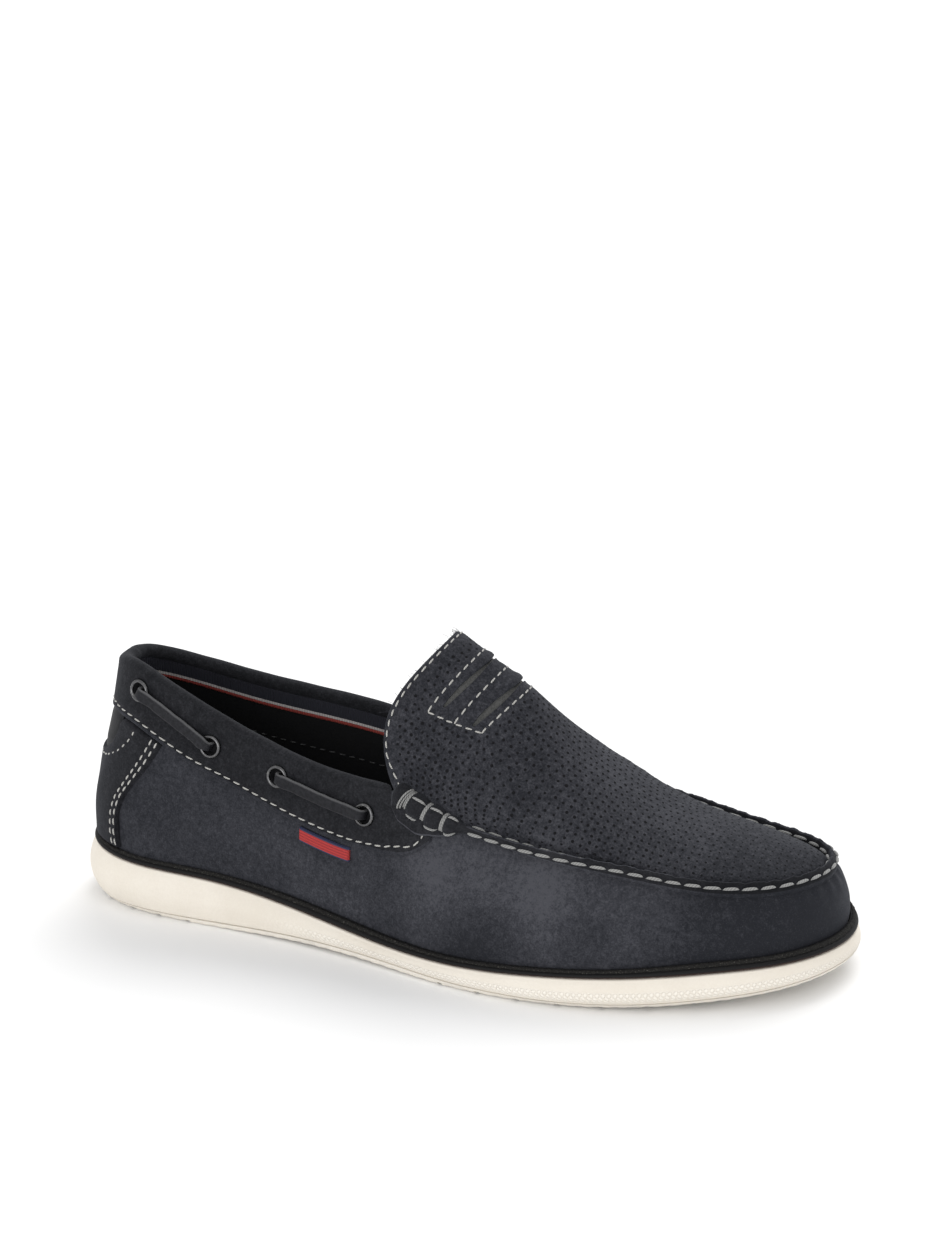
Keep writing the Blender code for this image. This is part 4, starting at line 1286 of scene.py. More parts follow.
COUNTER_FRONT = (
    # share of the way down, place of the counter's front edge
    (0.00, 0.175),
    (0.15, 0.164),
    (0.30, 0.151),
    (0.45, 0.135),
    (0.60, 0.119),
    (0.75, 0.111),
    (0.88, 0.110),
    (1.00, 0.113),
)
EYELET_SPOTS = (
    # x of the bore's middle and its drop
    (34.5, 9.5),
    (65.5, 13.5),
    (93.0, 10.5),
    (129.0, 12.5),
)
EYELET_PROFILE = (
    # radius, height over the wall: a bead that rolls out of the bore and under to the band
    (2.40, 0.75),
    (2.46, 1.45),
    (2.95, 2.30),
    (3.10, 2.75),
    (3.38, 3.02),
    (3.72, 3.08),
    (4.06, 2.90),
    (4.30, 2.50),
    (4.36, 2.12),
    (4.20, 1.92),
    (3.00, 1.90),
    (2.95, 0.75),
)
THONG_PATH = (
    # distance from the bore, height over the wall: up out of the bore, over the ring and down on the band
    (0.0, 1.1),
    (0.1, 2.6),
    (0.8, 3.75),
    (2.6, 4.2),
    (5.8, 3.5),
    (9.5, 3.05),
    (14.0, 2.95),
)
THONG_HALF_SECTION = (
    # share of the half width, share of the half thickness: the strip's upper side with its worn corners
    (1.0, 0.55),
    (0.93, 0.9),
    (0.7, 1.0),
    (0.3, 0.98),
    (-0.3, 0.98),
    (-0.7, 1.0),
    (-0.93, 0.9),
    (-1.0, 0.55),
)
RAND_PROFILE = (
    # inset past the sole's tuck, share of the rand's height, how crinkled, how brown: a tube, then a lip
    (2.0, 0.00, 0.0, 1.0),
    (0.85, 0.00, 0.0, 1.0),
    (0.25, 0.05, 0.0, 1.0),
    (-0.05, 0.16, 0.0, 0.4),
    (-0.15, 0.29, 0.0, 0.0),
    (-0.05, 0.42, 0.0, 0.0),
    (0.25, 0.52, 0.0, 0.0),
    (0.60, 0.575, 0.0, 0.0),
    (0.78, 0.60, 0.2, 0.0),
    (0.60, 0.66, 0.8, 0.0),
    (0.55, 0.75, 1.0, 0.0),
    (0.68, 0.86, 1.0, 0.0),
    (1.00, 0.96, 1.0, 0.0),
    (1.60, 1.00, 0.7, 0.0),
)
RIDGE_PROFILE = (
    # outward, up: the pinched seam
    (-2.6, -1.2),
    (-2.1, 0.9),
    (-1.5, 2.4),
    (-0.9, 3.9),
    (-0.15, 4.6),
    (0.5, 4.35),
    (1.05, 3.0),
    (1.3, 1.6),
    (1.15, 0.4),
    (0.6, -0.9),
    (-0.4, -2.2),
    (-1.8, -2.1),
)
PUFF_PROFILE = (
    # outward, up: the same seam, swollen beside the throat
    (-3.2, -1.6),
    (-3.5, 1.0),
    (-2.9, 3.4),
    (-1.3, 5.2),
    (0.6, 5.8),
    (2.7, 5.0),
    (4.3, 3.2),
    (5.0, 1.0),
    (4.7, -1.2),
    (3.0, -2.4),
    (0.6, -2.8),
    (-1.6, -2.5),
)
TREAD_X = (16.0, 29.0, 42.0, 55.0, 166.0, 181.0, 196.0, 211.0, 226.0, 241.0, 256.0)


@dataclass(frozen=True)
class Piece:
    """A part of the shoe, with the shape that it lies on and the finishes that it may wear."""

    form: ShoeForm
    finishes: Finishes


@dataclass(frozen=True)
class Sole(Piece):
    """The cream midsole, the thin tread layer under it and the sock inside the shoe."""

    tread_tall: float = 2.2
    parting: float = 0.45
    hollow: float = 1.0
    waist: tuple[float, float] = (112.0, 26.0)
    sipe_deep: float = 1.2
    scallop: float = 0.3
    scallop_pitch: float = 6.2
    side_top: float = 0.8
    inner: float = 8.0
    seat: float = 9.0
    sipe_half: float = 1.0
    sipe_low: float = -4.0
    sipe_zigzag: float = 2.0
    sipe_past: float = 6.0
    sock_side: tuple[tuple[float, float], ...] = ((8.0, 0.0), (8.0, 2.0), (8.6, 3.2), (9.6, 3.5))
    sock_cup: float = 0.9
    half: int = 300
    to_middle: tuple[float, ...] = (0.9, 0.75, 0.55, 0.35, 0.15, 0.03)

    def side(self, s: Array, share: Array, start: Array, foot: Array) -> Array:
        """Rings of the side, shares of the way down: tucked in above, widest half way, drawn in below.

        Args:
            s: places round the sole.
            share: rows of shares, each one number or one for each place.
            start: the height at which the side begins.
            foot: the height at which it would end.

        Returns:
            A ring for each row of shares.
        """
        rows = self.form.ring(s)
        above, below = np.clip(1 - 2 * share, 0.0, 1.0), np.clip(2 * share - 1, 0.0, 1.0)
        inset = read(SOLE_SIDE, rows[:, 0])[:, 0] * above**2 + rows[:, 4] * below**2
        height = start + (foot - start) * share
        return np.stack([self.form.inset_ring(s, *level) for level in zip(inset, height)])

    def closed(self, levels: list[Array], rise: Array | float) -> Array:
        """Rings, and smaller ones that close the last over its middle.

        Args:
            levels: the rings.
            rise: how far the middle stands over the last ring, in an even bow.

        Returns:
            All the rings.
        """
        edge = levels[-1]
        middle = (edge + edge[::-1]) / 2
        inner = [middle + (edge - middle) * part for part in self.to_middle]
        for ring, part in zip(inner, self.to_middle):
            ring[:, 2] += rise * (1 - part**2)
        return np.stack(levels + inner)

    def build(self) -> None:
        """Makes the three pieces."""
        s = all_round(self.half)
        rows = self.form.ring(s)
        top, under = rows[:, 2], np.maximum(rows[:, 3], 0.0)
        self.midsole(s, top, under)
        self.outsole(s, top, under, rows[:, 4])
        ring, bed = self.form.inset_ring, top + GAP
        cup = [ring(s, inset, bed + up) for inset, up in self.sock_side]
        Skin("sock", [self.finishes.sock]).tubes(self.closed(cup, -self.sock_cup)).build("lining", "insole")

    def midsole(self, s: Array, top: Array, under: Array) -> None:
        """Rings down the side: a rounded top edge under the rand, the side, and a crisp lower edge.

        Args:
            s: places round the sole.
            top: the height of the feather line at each place.
            under: the height of the underside.
        """
        ring, x = self.form.inset_ring, self.form.ring(s)[:, 0]
        tuck = read(SOLE_SIDE, x)[:, 0]
        start, meet = top - self.side_top, under + self.tread_tall + self.parting
        share = np.linspace(0.0, 1.0, 31)[:, None]
        side = self.side(s, share * (start - meet - 0.2) / (start - under), start, under)
        levels = [ring(s, self.inner, top - 0.1), ring(s, tuck + 0.9, top), ring(s, tuck + 0.35, top - 0.12)]
        levels += [ring(s, tuck + 0.08, top - 0.4), *side]
        last = np.linalg.norm(ring(s, 0.0, under)[:, :2] - side[-1][:, :2], axis=1)
        levels += [ring(s, last + 0.12, meet + 0.04), ring(s, last + 0.5, meet), ring(s, self.seat, meet)]
        down = np.concatenate([np.zeros(4), share[:, 0], np.ones(3)])[:, None]
        fore = smooth(x, 80, 125) * smooth(304 - x, 0, 12)
        studs = smooth(down, 0.40, 0.50) * (1 - smooth(down, 0.88, 0.92)) * fore
        dots = smooth(down, 0.90, 0.93) * (1 - smooth(down, 0.975, 1.0))
        skin = Skin("midsole_side", [self.finishes.cream])
        skin.tubes(np.stack(levels), studs=studs, dots=dots).build("cream_sole", "midsole")

    def outsole(self, s: Array, top: Array, under: Array, draft: Array) -> None:
        """Rings from the parting line to the ground, scalloped along the lower edge, then in to the middle.

        Args:
            s: places round the sole.
            top: the height of the feather line.
            under: the height of the underside.
            draft: how far the side draws in.
        """
        ring = self.form.inset_ring
        start, high = top - self.side_top, under + self.tread_tall
        wave = np.cos(2 * np.pi * lengths(ring(s, 0.0, under)) / self.scallop_pitch)
        wave = self.scallop * (0.5 - 0.5 * wave)
        heights = (high, high - 0.15, under + 1.2, under + 0.5)
        share = np.stack([(start - z) / (start - under) for z in heights])
        inset = np.stack([0.4 + 0 * wave, 0.1 + 0 * wave, 0.1 + wave * 0.5, 0.3 + wave])
        side = self.side(s, share, start, under)
        side[..., :2] -= self.form.outward(s) * inset[..., None]
        levels = [ring(s, self.seat, high), *side, ring(s, draft + 0.6 + wave, under + 0.12)]
        levels += [ring(s, draft + 1.3 + wave, under)]
        arch = self.hollow * hill(levels[-1][:, 0] - self.waist[0], self.waist[1])
        skin = Skin("tread_layer", [self.finishes.tread], sharp=50)
        piece = skin.tubes(self.closed(levels, arch)).build("grey_tread", "outsole")
        self.sipes().carve(piece)

    def sipes(self) -> Skin:
        """Cutters for the tread's zigzag cuts.

        Returns:
            Square bars across the sole, sunk to one depth.
        """
        skin = Skin("sipes", [self.finishes.tread])
        half, low, high = self.sipe_half, self.sipe_low, self.sipe_deep
        corners = ((-half, low), (half, low), (half, high), (-half, high))
        zigzag = np.array((-self.sipe_zigzag, self.sipe_zigzag) * 3)
        for x in TREAD_X:
            outer, inner = (self.form.ring(self.form.place_at(x, side)) for side in SIDES)
            across = np.linspace(outer[1] - self.sipe_past, inner[1] + self.sipe_past, len(zigzag))
            ground = max((outer[3] + inner[3]) / 2, 0.0)
            places = zip(zigzag + x, across)
            bar = [[(along + h, y, ground * (z > 0) + z) for h, z in corners] for along, y in places]
            skin.tubes(np.array(bar))
        return skin


@dataclass(frozen=True)
class Rand(Piece):
    """The black rand round the feather line: a smooth round strip and a crinkled lip against the upper."""

    bottom: float = 0.35
    crinkle: float = 0.24
    half: int = 800

    def build(self) -> None:
        """Carries the rand's closed profile round the sole."""
        s = all_round(self.half)
        rows = self.form.ring(s)
        tuck, tall = read(SOLE_SIDE, rows[:, 0]).T
        run = lengths(rows[:, :3])
        outer = []
        for inset, share, crinkled, _ in RAND_PROFILE:
            crinkle = self.crinkle * crinkled * ripple(run + share * 3.0, (1.7, 2.6, 4.3), 17)
            height = self.bottom + (tall - self.bottom) * share
            outer.append(self.form.inset_ring(s, tuck + inset + crinkle, rows[:, 2] + height + crinkle * 0.6))
        wall = self.form.tall(s)
        backs = ((tall - GAP, 0.85), (tall - GAP - 0.15, 0.45), (tall * 0.5, 0.45), (0.4 + 0 * tall, 0.45))
        inner = [self.form.on_wall(s, wall - high, off) for high, off in backs]
        lip, foot = (np.array([row[k] for row in RAND_PROFILE] + [0.0] * len(inner)) for k in (2, 3))
        skin = Skin("rand", [self.finishes.rand], sharp=60)
        skin.tubes(np.stack(outer + inner, axis=1), wrap=True, lip=lip, foot=foot)
        skin.build("black_rubber", "welt")


class Seam:
    """The line where wall and plug meet, run from the outer throat round the toe to the inner throat."""

    PITCH = 6.55
    TOE_DASH = 2.5
    BLUR = 15

    def __init__(self, form: ShoeForm) -> None:
        """Samples the line with an up and a side direction at each point.

        Args:
            form: the shape on which wall and plug meet.
        """
        outer, inner = np.linspace(form.throat[1], 1.0, 400), np.linspace(-1.0, form.throat[-1], 400)
        s = np.concatenate([outer, inner[1:]])
        q = np.where(s > 0, (1 - s) / (1 - form.throat[1]), (1 + s) / (1 + form.throat[-1]))
        p = form.wall(s, 1.0)
        along = unit(np.gradient(p, axis=0))
        plug = normals(form.plug, np.clip(q, 0.03, 0.99), np.where(s > 0, 0.99, -0.99))
        top = unit(unit(form.wall_normal(s, 1.0) + plug) + unit(p - form.wall(s, 0.99)) * 0.8)
        wide = np.pad(top, ((self.BLUR, self.BLUR), (0, 0)), "edge")
        window = np.ones(2 * self.BLUR + 1)
        top = np.stack([np.convolve(wide[:, i], window, "valid") for i in range(3)], axis=1)
        up = unit(top - along * np.sum(top * along, axis=1)[:, None])
        self.run = lengths(p)
        self.length = self.run[-1]
        self.first_dash = self.length / 2 + self.TOE_DASH
        self.rows = np.column_stack([np.where(s > 0, s, s + 2.0), p, up, np.cross(along, up)])

    def at(self, a: Place) -> tuple[Array, Array, Array]:
        """Points, up and side directions at lengths along the seam."""
        rows = along_line(np.asarray(a, float), self.run, self.rows)
        return rows[..., 1:4], unit(rows[..., 4:7]), unit(rows[..., 7:10])

    def run_of(self, s: Place) -> Array:
        """The length along the seam at a place."""
        s = np.asarray(s, float)
        return np.interp(np.where(s > 0, s, s + 2.0), self.rows[:, 0], self.run)

    def pucker(self, a: Place) -> Array:
        """1 between two stitches and 0 under the middle of each."""
        return 0.5 - 0.5 * np.cos(2 * np.pi * (np.asarray(a) - self.first_dash) / self.PITCH)


@dataclass(frozen=True)
class Wall(Piece):
    """The upper's side: nubuck outside, lining inside, puckered under the seam."""

    seam: Seam
    pucker: float = 0.55
    dent: float = 0.55
    half: int = 320
    rows: int = 56

    def relief(self, s: Array, drop: Array) -> Array:
        """How far the face stands from the form: puckers at the seam, and slow dents of relaxed leather.

        Args:
            s: places round the shoe.
            drop: drops below the edge.

        Returns:
            Offsets in millimetres.
        """
        forward = smooth(np.abs(s), 0.50, 0.56)
        fold = (0.5 - self.seam.pucker(self.seam.run_of(s))) * self.pucker * hill(drop - 2.6, 3.2) * forward
        x = np.mod(s, 2.0) * HALF_ROUND
        slow = ripple(x + drop * 0.8, (61.0, 37.0), 3) * ripple(drop * 1.7 - x * 0.3, (44.0, 29.0), 5)
        inside = smooth(drop, 4.0, 14.0) * smooth(self.form.tall(s) - drop, 4.0, 12.0)
        return fold + slow * self.dent * inside

    def build(self) -> None:
        """Carries a section with an outer and an inner face round the shoe."""
        s = all_round(self.half)
        collar = (s > self.form.throat[-1]) & (s < self.form.throat[1])
        high = np.where(collar, ROLL_DROP, 0.0)[:, None]
        tall = self.form.tall(s)[:, None]
        drop = tall + (high - tall) * np.linspace(0.0, 1.0, self.rows)[None]
        face = self.form.on_wall(s[:, None], drop, self.relief(s[:, None], drop))
        back = self.form.on_wall(s[:, None], drop[:, ::3], -LEATHER)
        slot = (np.arange(self.rows + back.shape[1]) > self.rows - 2).astype(int)
        skin = Skin("upper_wall", [self.finishes.nubuck, self.finishes.lining], sharp=70)
        skin.tubes(slab(face, back), wrap=True, slot=slot).build("nubuck", "upper")


@dataclass(frozen=True)
class Plug(Piece):
    """The plug and tongue: punched nubuck with a stitched panel cut by two slots over smooth inlays."""

    slots: tuple[tuple[float, float], ...] = ((0.898, 0.880), (0.815, 0.796))
    slot_reach: float = 0.46
    slot_shut: float = 0.78
    slot_crest: float = 0.20
    panel: tuple[tuple[float, float], ...] = ((0.780, 0.465), (0.850, 0.503), (0.915, 0.520))
    cut: tuple[float, float, float] = (-1.6, 2.5, 0.0)
    inlay: tuple[float, float, float] = (-1.45, -0.8, -0.0045)
    foot: float = 0.012
    face_steps: int = 150
    hole: float = 0.53
    row: float = 1.3
    spacing: float = 3.15
    clear: float = 4.0
    clear_edge: float = 6.0
    clear_end: float = 5.0
    fibres: int = 70
    gutter: float = 1.3
    flex: float = 0.09
    over_band: float = 2.6
    puff: float = 0.75
    sink: float = 0.30
    trough: float = 0.28

    def lift(self, q: Array, v: Array) -> Array:
        """How far the leather stands out: raised over the band at the throat, sunk where it bends or is sewn.

        Args:
            q: places up the plug.
            v: places across it.

        Returns:
            Offsets in millimetres.
        """
        aside = np.abs(v)
        over = self.over_band * smooth(aside, 0.70, 1.0) * smooth(q, 0.93, 1.0)
        inner_side = smooth(-v, 0.0, 0.5) * smooth(q, 0.02, 0.12)
        deep, wide = self.gutter * (1 + 1.1 * inner_side), 2.2 + 1.6 * inner_side
        gutter = deep * hill(self.from_seam(q, v) - 3.4, wide) * (1 - smooth(q, 0.80, 0.88))
        flex = np.sin(q * 210.0 + 1.5 * np.cos(2.0 * v)) * smooth(q, 0.08, 0.2) * (1 - smooth(q, 0.5, 0.65))
        bent = 0.8 * smooth(q, 0.972, 1.0) ** 2
        inward = 1 - smooth(aside, 0.55, 0.95)
        trough = sum(hill(q - at - 0.02 * v * v, 0.022) for at in (0.50, 0.60)) * inward
        lip = self.puff * sum(hill(q - rear - 0.003, 0.013) for rear, _ in self.slots)
        sunk = self.sink * sum(hill(q - front + 0.002, 0.010) for _, front in self.slots)
        puffed = (lip - sunk) * (1 - smooth(aside, self.slot_reach - 0.14, self.slot_reach + 0.02))
        return over - gutter + puffed + self.flex * flex - bent - self.trough * trough

    def from_seam(self, q: Array, v: Array) -> Array:
        """About how far a place lies inside the seam line, in millimetres."""
        across = column(((0.0, 14.0), (0.2, 40.0), (0.5, 52.0), (1.0, 75.0)), q)
        return np.minimum((1 - np.abs(v)) * across, q * 150.0)

    def build(self) -> None:
        """Makes the leather, its slots and inlays, and punches the holes."""
        v = np.linspace(1.0, -1.0, 171)[:, None]
        end = self.form.tongue_span(v)
        round_off = LEATHER / 2
        q_end = 1.0 - round_off / end
        q_face = self.foot + (q_end - self.foot) * np.linspace(0.0, 1.0, self.face_steps)[None]
        turn = np.radians(np.linspace(0.0, 180.0, 9))[None, 1:-1]
        q_back = q_face[:, ::-3]
        q = np.concatenate([q_face, q_end + round_off * np.sin(turn) / end, q_back], axis=1)
        edge, back = round_off * (np.cos(turn[0]) - 1), np.full(q_back.shape[1], -LEATHER)
        fall = np.concatenate([np.zeros(self.face_steps), edge, back])
        place = np.arange(len(fall))
        slot = np.where(place < self.face_steps - 2, 0, np.where(place < self.face_steps + 8, 1, 2))
        skin = Skin("plug", [self.finishes.plug, self.finishes.raw, self.finishes.lining], sharp=60)
        skin.tubes(self.form.on_plug(q, v, self.lift(q, v) + fall[None]), slot=slot)
        piece = skin.build("nubuck")
        cutters = Skin("slot_cutters", [self.finishes.raw])
        inlays = Skin("slot_inlays", [self.finishes.olive])
        for rear, front in self.slots:
            cutters.tubes(self.lens(rear, front, *self.cut))
            inlays.tubes(self.lens(rear, front, *self.inlay))
        cutters.carve(piece)
        inlays.build("smooth_leather", "slot_inlay_1", "slot_inlay_2")
        self.punch()
        self.fray()

    def lens(self, rear: float, front: float, low: float, high: float, shrink: float) -> Array:
        """Sections of a long lens across the plug, pinched to its tips and half shut over the crest.

        Args:
            rear: q of the slot's rear edge at the middle.
            front: q of its front edge.
            low: offset of the lens's underside from the leather's face.
            high: offset of its top.
            shrink: taken from each edge; below 0 it tucks under the leather.

        Returns:
            Points by place across the shoe and place round the section.
        """
        v = np.linspace(-self.slot_reach, self.slot_reach, 61)[:, None]
        pinch = np.clip(1 - (v / (self.slot_reach * 1.02)) ** 4, 0.0, 1.0) ** 0.5
        half = (rear - front) / 2 * pinch * (1 - self.slot_shut * hill(v, self.slot_crest)) - shrink
        q = (rear + front) / 2 + half * np.linspace(-1.0, 1.0, 9)[None]
        return slab(self.form.on_plug(q, v, low), self.form.on_plug(q, v, high))

    def panel_side(self, q: Array) -> Array:
        """The panel's half width in v at a place up the plug."""
        return np.interp(q, *zip(*self.panel))

    def hole_grid(self) -> tuple[Array, Array]:
        """Staggered rows of places over the whole plug.

        Returns:
            The q and the v of each place, clear of the seam.
        """
        line, v_grid = np.linspace(0.02, 1.0, 600), np.linspace(-1.0, 1.0, 161)
        ridge = lengths(self.form.plug(line, 0.0))
        q_row = np.interp(np.arange(self.clear_end, ridge[-1] - self.clear_end, self.row), ridge, line)
        across = lengths(self.form.plug(q_row[:, None], v_grid[None]))
        places = []
        for i, q in enumerate(q_row):
            width, centre = across[i, -1], across[i, v_grid.size // 2]
            u = np.arange(-20, 21) * 2 * self.spacing + (i % 2) * self.spacing
            u = u[(u + centre > self.clear) & (u + centre < width - self.clear)]
            v = np.interp(u + centre, across[i], v_grid)
            places.append(np.column_stack([np.full(len(v), q), v]))
        q, v = np.concatenate(places).T
        return q, v

    def punch(self) -> None:
        """Punches shallow cups, leaving out the tongue's edge, the panel and the puffed corners."""
        chance = np.random.default_rng(11)
        q, v = self.hole_grid()
        rear, front = self.panel[-1][0] + 0.012, self.panel[0][0] - 0.008
        panel = (np.abs(v) < self.panel_side(q) + 0.02) & (q < rear) & (q > front)
        puffs = (np.abs(v) > 0.90) & (q > 0.84)
        keep = ((1.0 - q) * self.form.tongue_span(v, 0.02) > self.clear_edge) & ~panel & ~puffs
        q, v = q[keep] + chance.normal(0, 0.0008, keep.sum()), v[keep] + chance.normal(0, 0.0028, keep.sum())
        centre, out = self.form.line_on_plug(q, v, self.lift(q, v))
        ahead = unit(np.cross(out, np.array((0.0, 0.0, 1.0))))
        size = self.hole * (0.68 + 0.36 * smooth(q, 0.2, 0.5)) * chance.normal(1.0, 0.10, len(q))
        spoke = spokes(8, ahead, np.cross(out, ahead)) * size[:, None, None]
        cups = [centre[:, None] + spoke * r + out[:, None] * h for r, h in ((1.0, 0.03), (0.3, -0.3))]
        Skin("punched_holes", [self.finishes.hole]).tubes(np.stack(cups, axis=1)).build("lining")

    def fray(self) -> None:
        """Leaves a few fine stray fibres along the tongue's cut edge."""
        chance = np.random.default_rng(23)
        v = chance.uniform(-0.9, 0.9, self.fibres)[:, None]
        w = np.linspace(0.0, 1.0, 6)[None]
        root = self.form.on_plug(0.995, v, chance.uniform(-1.6, -0.2, v.shape))
        astray = chance.normal(0, 1.0, (self.fibres, 1, 3))
        out = unit(self.form.plug(1.0, v) - self.form.plug(0.97, v) + astray)
        curl = chance.normal(0, 0.35, (self.fibres, 1, 3))
        reach = chance.uniform(0.8, 2.0, v.shape)[..., None] * w[..., None]
        skin = Skin("tongue_fibres", [self.finishes.raw])
        for line in root + out * reach + curl * reach**2:
            skin.tubes(cord_sections(line, np.broadcast_to((0.0, 0.3, 1.0), line.shape), 0.05, 4))
        skin.build("nubuck")


@dataclass(frozen=True)
class Collar(Piece):
    """The band round the topline, rolled over the edge, with its lower edge stitched down."""

    roll_radius: float = 2.8
    flat_radius: float = 0.7
    flat_drop: float = 2.0
    reach: float = 0.4925
    groove: float = 0.28
    bore: float = 3.2
    tape_high: float = 4.6
    tape_wide: float = 8.2
    tape_reach: float = 0.455
    tape_back: float = -2.1
    lining_drop: float = 25.0
    lining_face: float = -2.25

    def place(self, c: Array) -> Array:
        """The place for a signed place counted on the outer side, eased to match the inner throat."""
        side = np.sign(c)
        shift = np.where(side < 0, -self.form.throat[-1] - self.form.throat[1], 0.0)
        return side * (np.abs(c) + shift * smooth(np.abs(c), 0.0, 0.40))

    def build(self) -> None:
        """Makes the band and its roll, cuts the eyelet bores and lays the tape inside."""
        c = np.linspace(-self.reach, self.reach, 641)
        s, low, run = self.place(c)[:, None], column(BAND_LOW, c)[:, None], c[:, None] * HALF_ROUND
        end = self.form.throat[1] - ROLL_SHORT
        roll = 1 - smooth(np.abs(c), end - 0.004, end + 0.008)[:, None]
        high = ROLL_DROP * roll + self.flat_drop * (1 - roll)
        radius = self.flat_radius + (self.roll_radius - self.flat_radius) * roll
        drop = low + (high - low) * np.concatenate([np.linspace(0, 0.12, 8)[:-1], np.linspace(0.12, 1.0, 22)])
        face = self.form.on_wall(s, drop, self.stand(c, drop, low))
        back = self.form.on_wall(s, drop[:, ::-4], OVERLAY_NEAR)
        sections = np.concatenate([face, *self.roll(s, high, radius, roll, run), back], axis=1)
        if sections.shape[1] % 2:
            sections = np.concatenate([sections, sections[:, -1:]], axis=1)
        slot = (np.arange(sections.shape[1]) < 5).astype(int)
        skin = Skin("collar", [self.finishes.collar, self.finishes.raw], sharp=70)
        piece = skin.tubes(sections, slot=slot).build("nubuck", "collar_band")
        self.bores().carve(piece)
        self.stitch()
        self.tape()

    def stand(self, c: Array, drop: Array, low: Array) -> Array:
        """How far the band's face stands out: a rounded lower edge, a groove, ripples and eyelet dents.

        Args:
            c: signed places counted on the outer side.
            drop: drops below the edge.
            low: the drop of the band's lower edge.

        Returns:
            Offsets in millimetres.
        """
        inside, run = low - drop, c[:, None] * HALF_ROUND
        groove = self.groove * hill(drop - column(BAND_STITCH, c)[:, None], 0.55)
        wave = 0.16 * ripple(run + drop, (23.0, 41.0, 13.0), 9) * smooth(inside, 2, 8) * smooth(drop, 3, 8)
        places = [(self.form.place_at(x, side), d) for x, d in EYELET_SPOTS for side in SIDES]
        spots = [(float(place) * HALF_ROUND, d) for place, d in places]
        dents = sum(np.exp(-(((run - x) ** 2 + (drop - d) ** 2) / 34.0)) for x, d in spots)
        return 0.55 + (OVERLAY_FAR - 0.55) * edge_round(inside, 1.1) - groove + wave - 0.30 * dents

    def roll(self, s: Array, high: Array, radius: Array, roll: Array, run: Array) -> tuple[Array, Array]:
        """The band's roll: an arc over the topline, and two points that lead back under it.

        Args:
            s: places round the shoe.
            high: the drop at which the roll starts.
            radius: the roll's radius.
            roll: 1 where the band is rolled, 0 where it lies flat.
            run: lengths round the shoe, for the roll's unevenness.

        Returns:
            Points of the arc, and of the way back.
        """
        edge, out = self.form.line_on_wall(s, high, 0.0)
        t = self.form.t_at_drop(s, high)
        up = unit(self.form.wall(s, t + STEP) - self.form.wall(s, t - STEP))
        radius, roll = radius[..., None], roll[..., None]
        turn = np.radians(np.linspace(0.0, 1.0, 19)[1:, None] * (180 + 45 * roll))
        bow = radius + 0.10 * ripple(run[..., None], (17.0, 29.0, 47.0), 4) * roll
        arc = edge + out * (OVERLAY_FAR - radius) + bow * (np.cos(turn) * out + np.sin(turn) * up)
        raised = edge + up * 0.45 * roll
        back = [raised + out * (OVERLAY_NEAR - 3.15 * roll), raised + out * OVERLAY_NEAR]
        return arc, np.concatenate(back, axis=1)

    def bores(self) -> Skin:
        """Cutters for the eyelets' bores.

        Returns:
            A round bar through the band at each eyelet.
        """
        skin = Skin("bores", [self.finishes.raw])
        for side in SIDES:
            for centre, out, along, up in eyelet_frames(self.form, side):
                spoke = spokes(28, along, up) * self.bore
                skin.tubes(np.stack([centre + spoke + out * h for h in (-0.2, 5.0)]))
        return skin

    def stitch(self) -> None:
        """Runs the pale stitch a little above the band's lower edge and up its front corners."""
        skin = Skin("band_stitch", [self.finishes.thread])
        c = np.linspace(0.0, BAND_STITCH[-1][0], 2500)
        for side in SIDES:
            line = self.form.line_on_wall(self.place(side * c), column(BAND_STITCH, c), OVERLAY_FAR - 0.12)
            skin.tubes(StitchRun().dashes(*line, 20 + side))
        skin.build("thong")

    def tape(self) -> None:
        """Lays the ribbed tape inside the topline, and a faint stitch through the lining below it."""
        s = self.place(np.linspace(-self.tape_reach, self.tape_reach, 561))
        left = self.tape_wide * (1 - np.linspace(0.0, 1.0, 15))
        drop = self.tape_high + self.tape_wide - left
        off = self.lining_face - 0.5 * edge_round(np.minimum(self.tape_wide - left, left), 0.7)
        skin = Skin("collar_tape", [self.finishes.tape], sharp=70)
        sheet = self.form.sheet(s[:, None], drop, off, self.tape_back)
        skin.tubes(sheet, low_edge=np.concatenate([left, left[::-1]]))
        skin.build("lining")
        lower, out = self.form.line_on_wall(s, self.lining_drop, self.lining_face)
        run = StitchRun(dash=2.6, gap=1.6, width=0.5, height=0.4)
        Skin("lining_stitch", [self.finishes.dark_thread]).tubes(run.dashes(lower, -out, 31)).build("lining")


def eyelet_frames(form: ShoeForm, side: int) -> list[tuple[Array, Array, Array, Array]]:
    """Where each eyelet on a side stands.

    Args:
        form: the shape that they stand on.
        side: 1 for the outer side, -1 for the inner side.

    Returns:
        Centre, outward, forward and upward directions of each.
    """
    frames = []
    for x, drop in EYELET_SPOTS:
        s = form.place_at(x, side)
        t = form.t_at_drop(s, drop)
        out = form.wall_normal(s, t)
        along = unit(form.wall(s + STEP, t) - form.wall(s - STEP, t))
        frames.append((form.wall(s, t), out, along, np.cross(out, along)))
    return frames


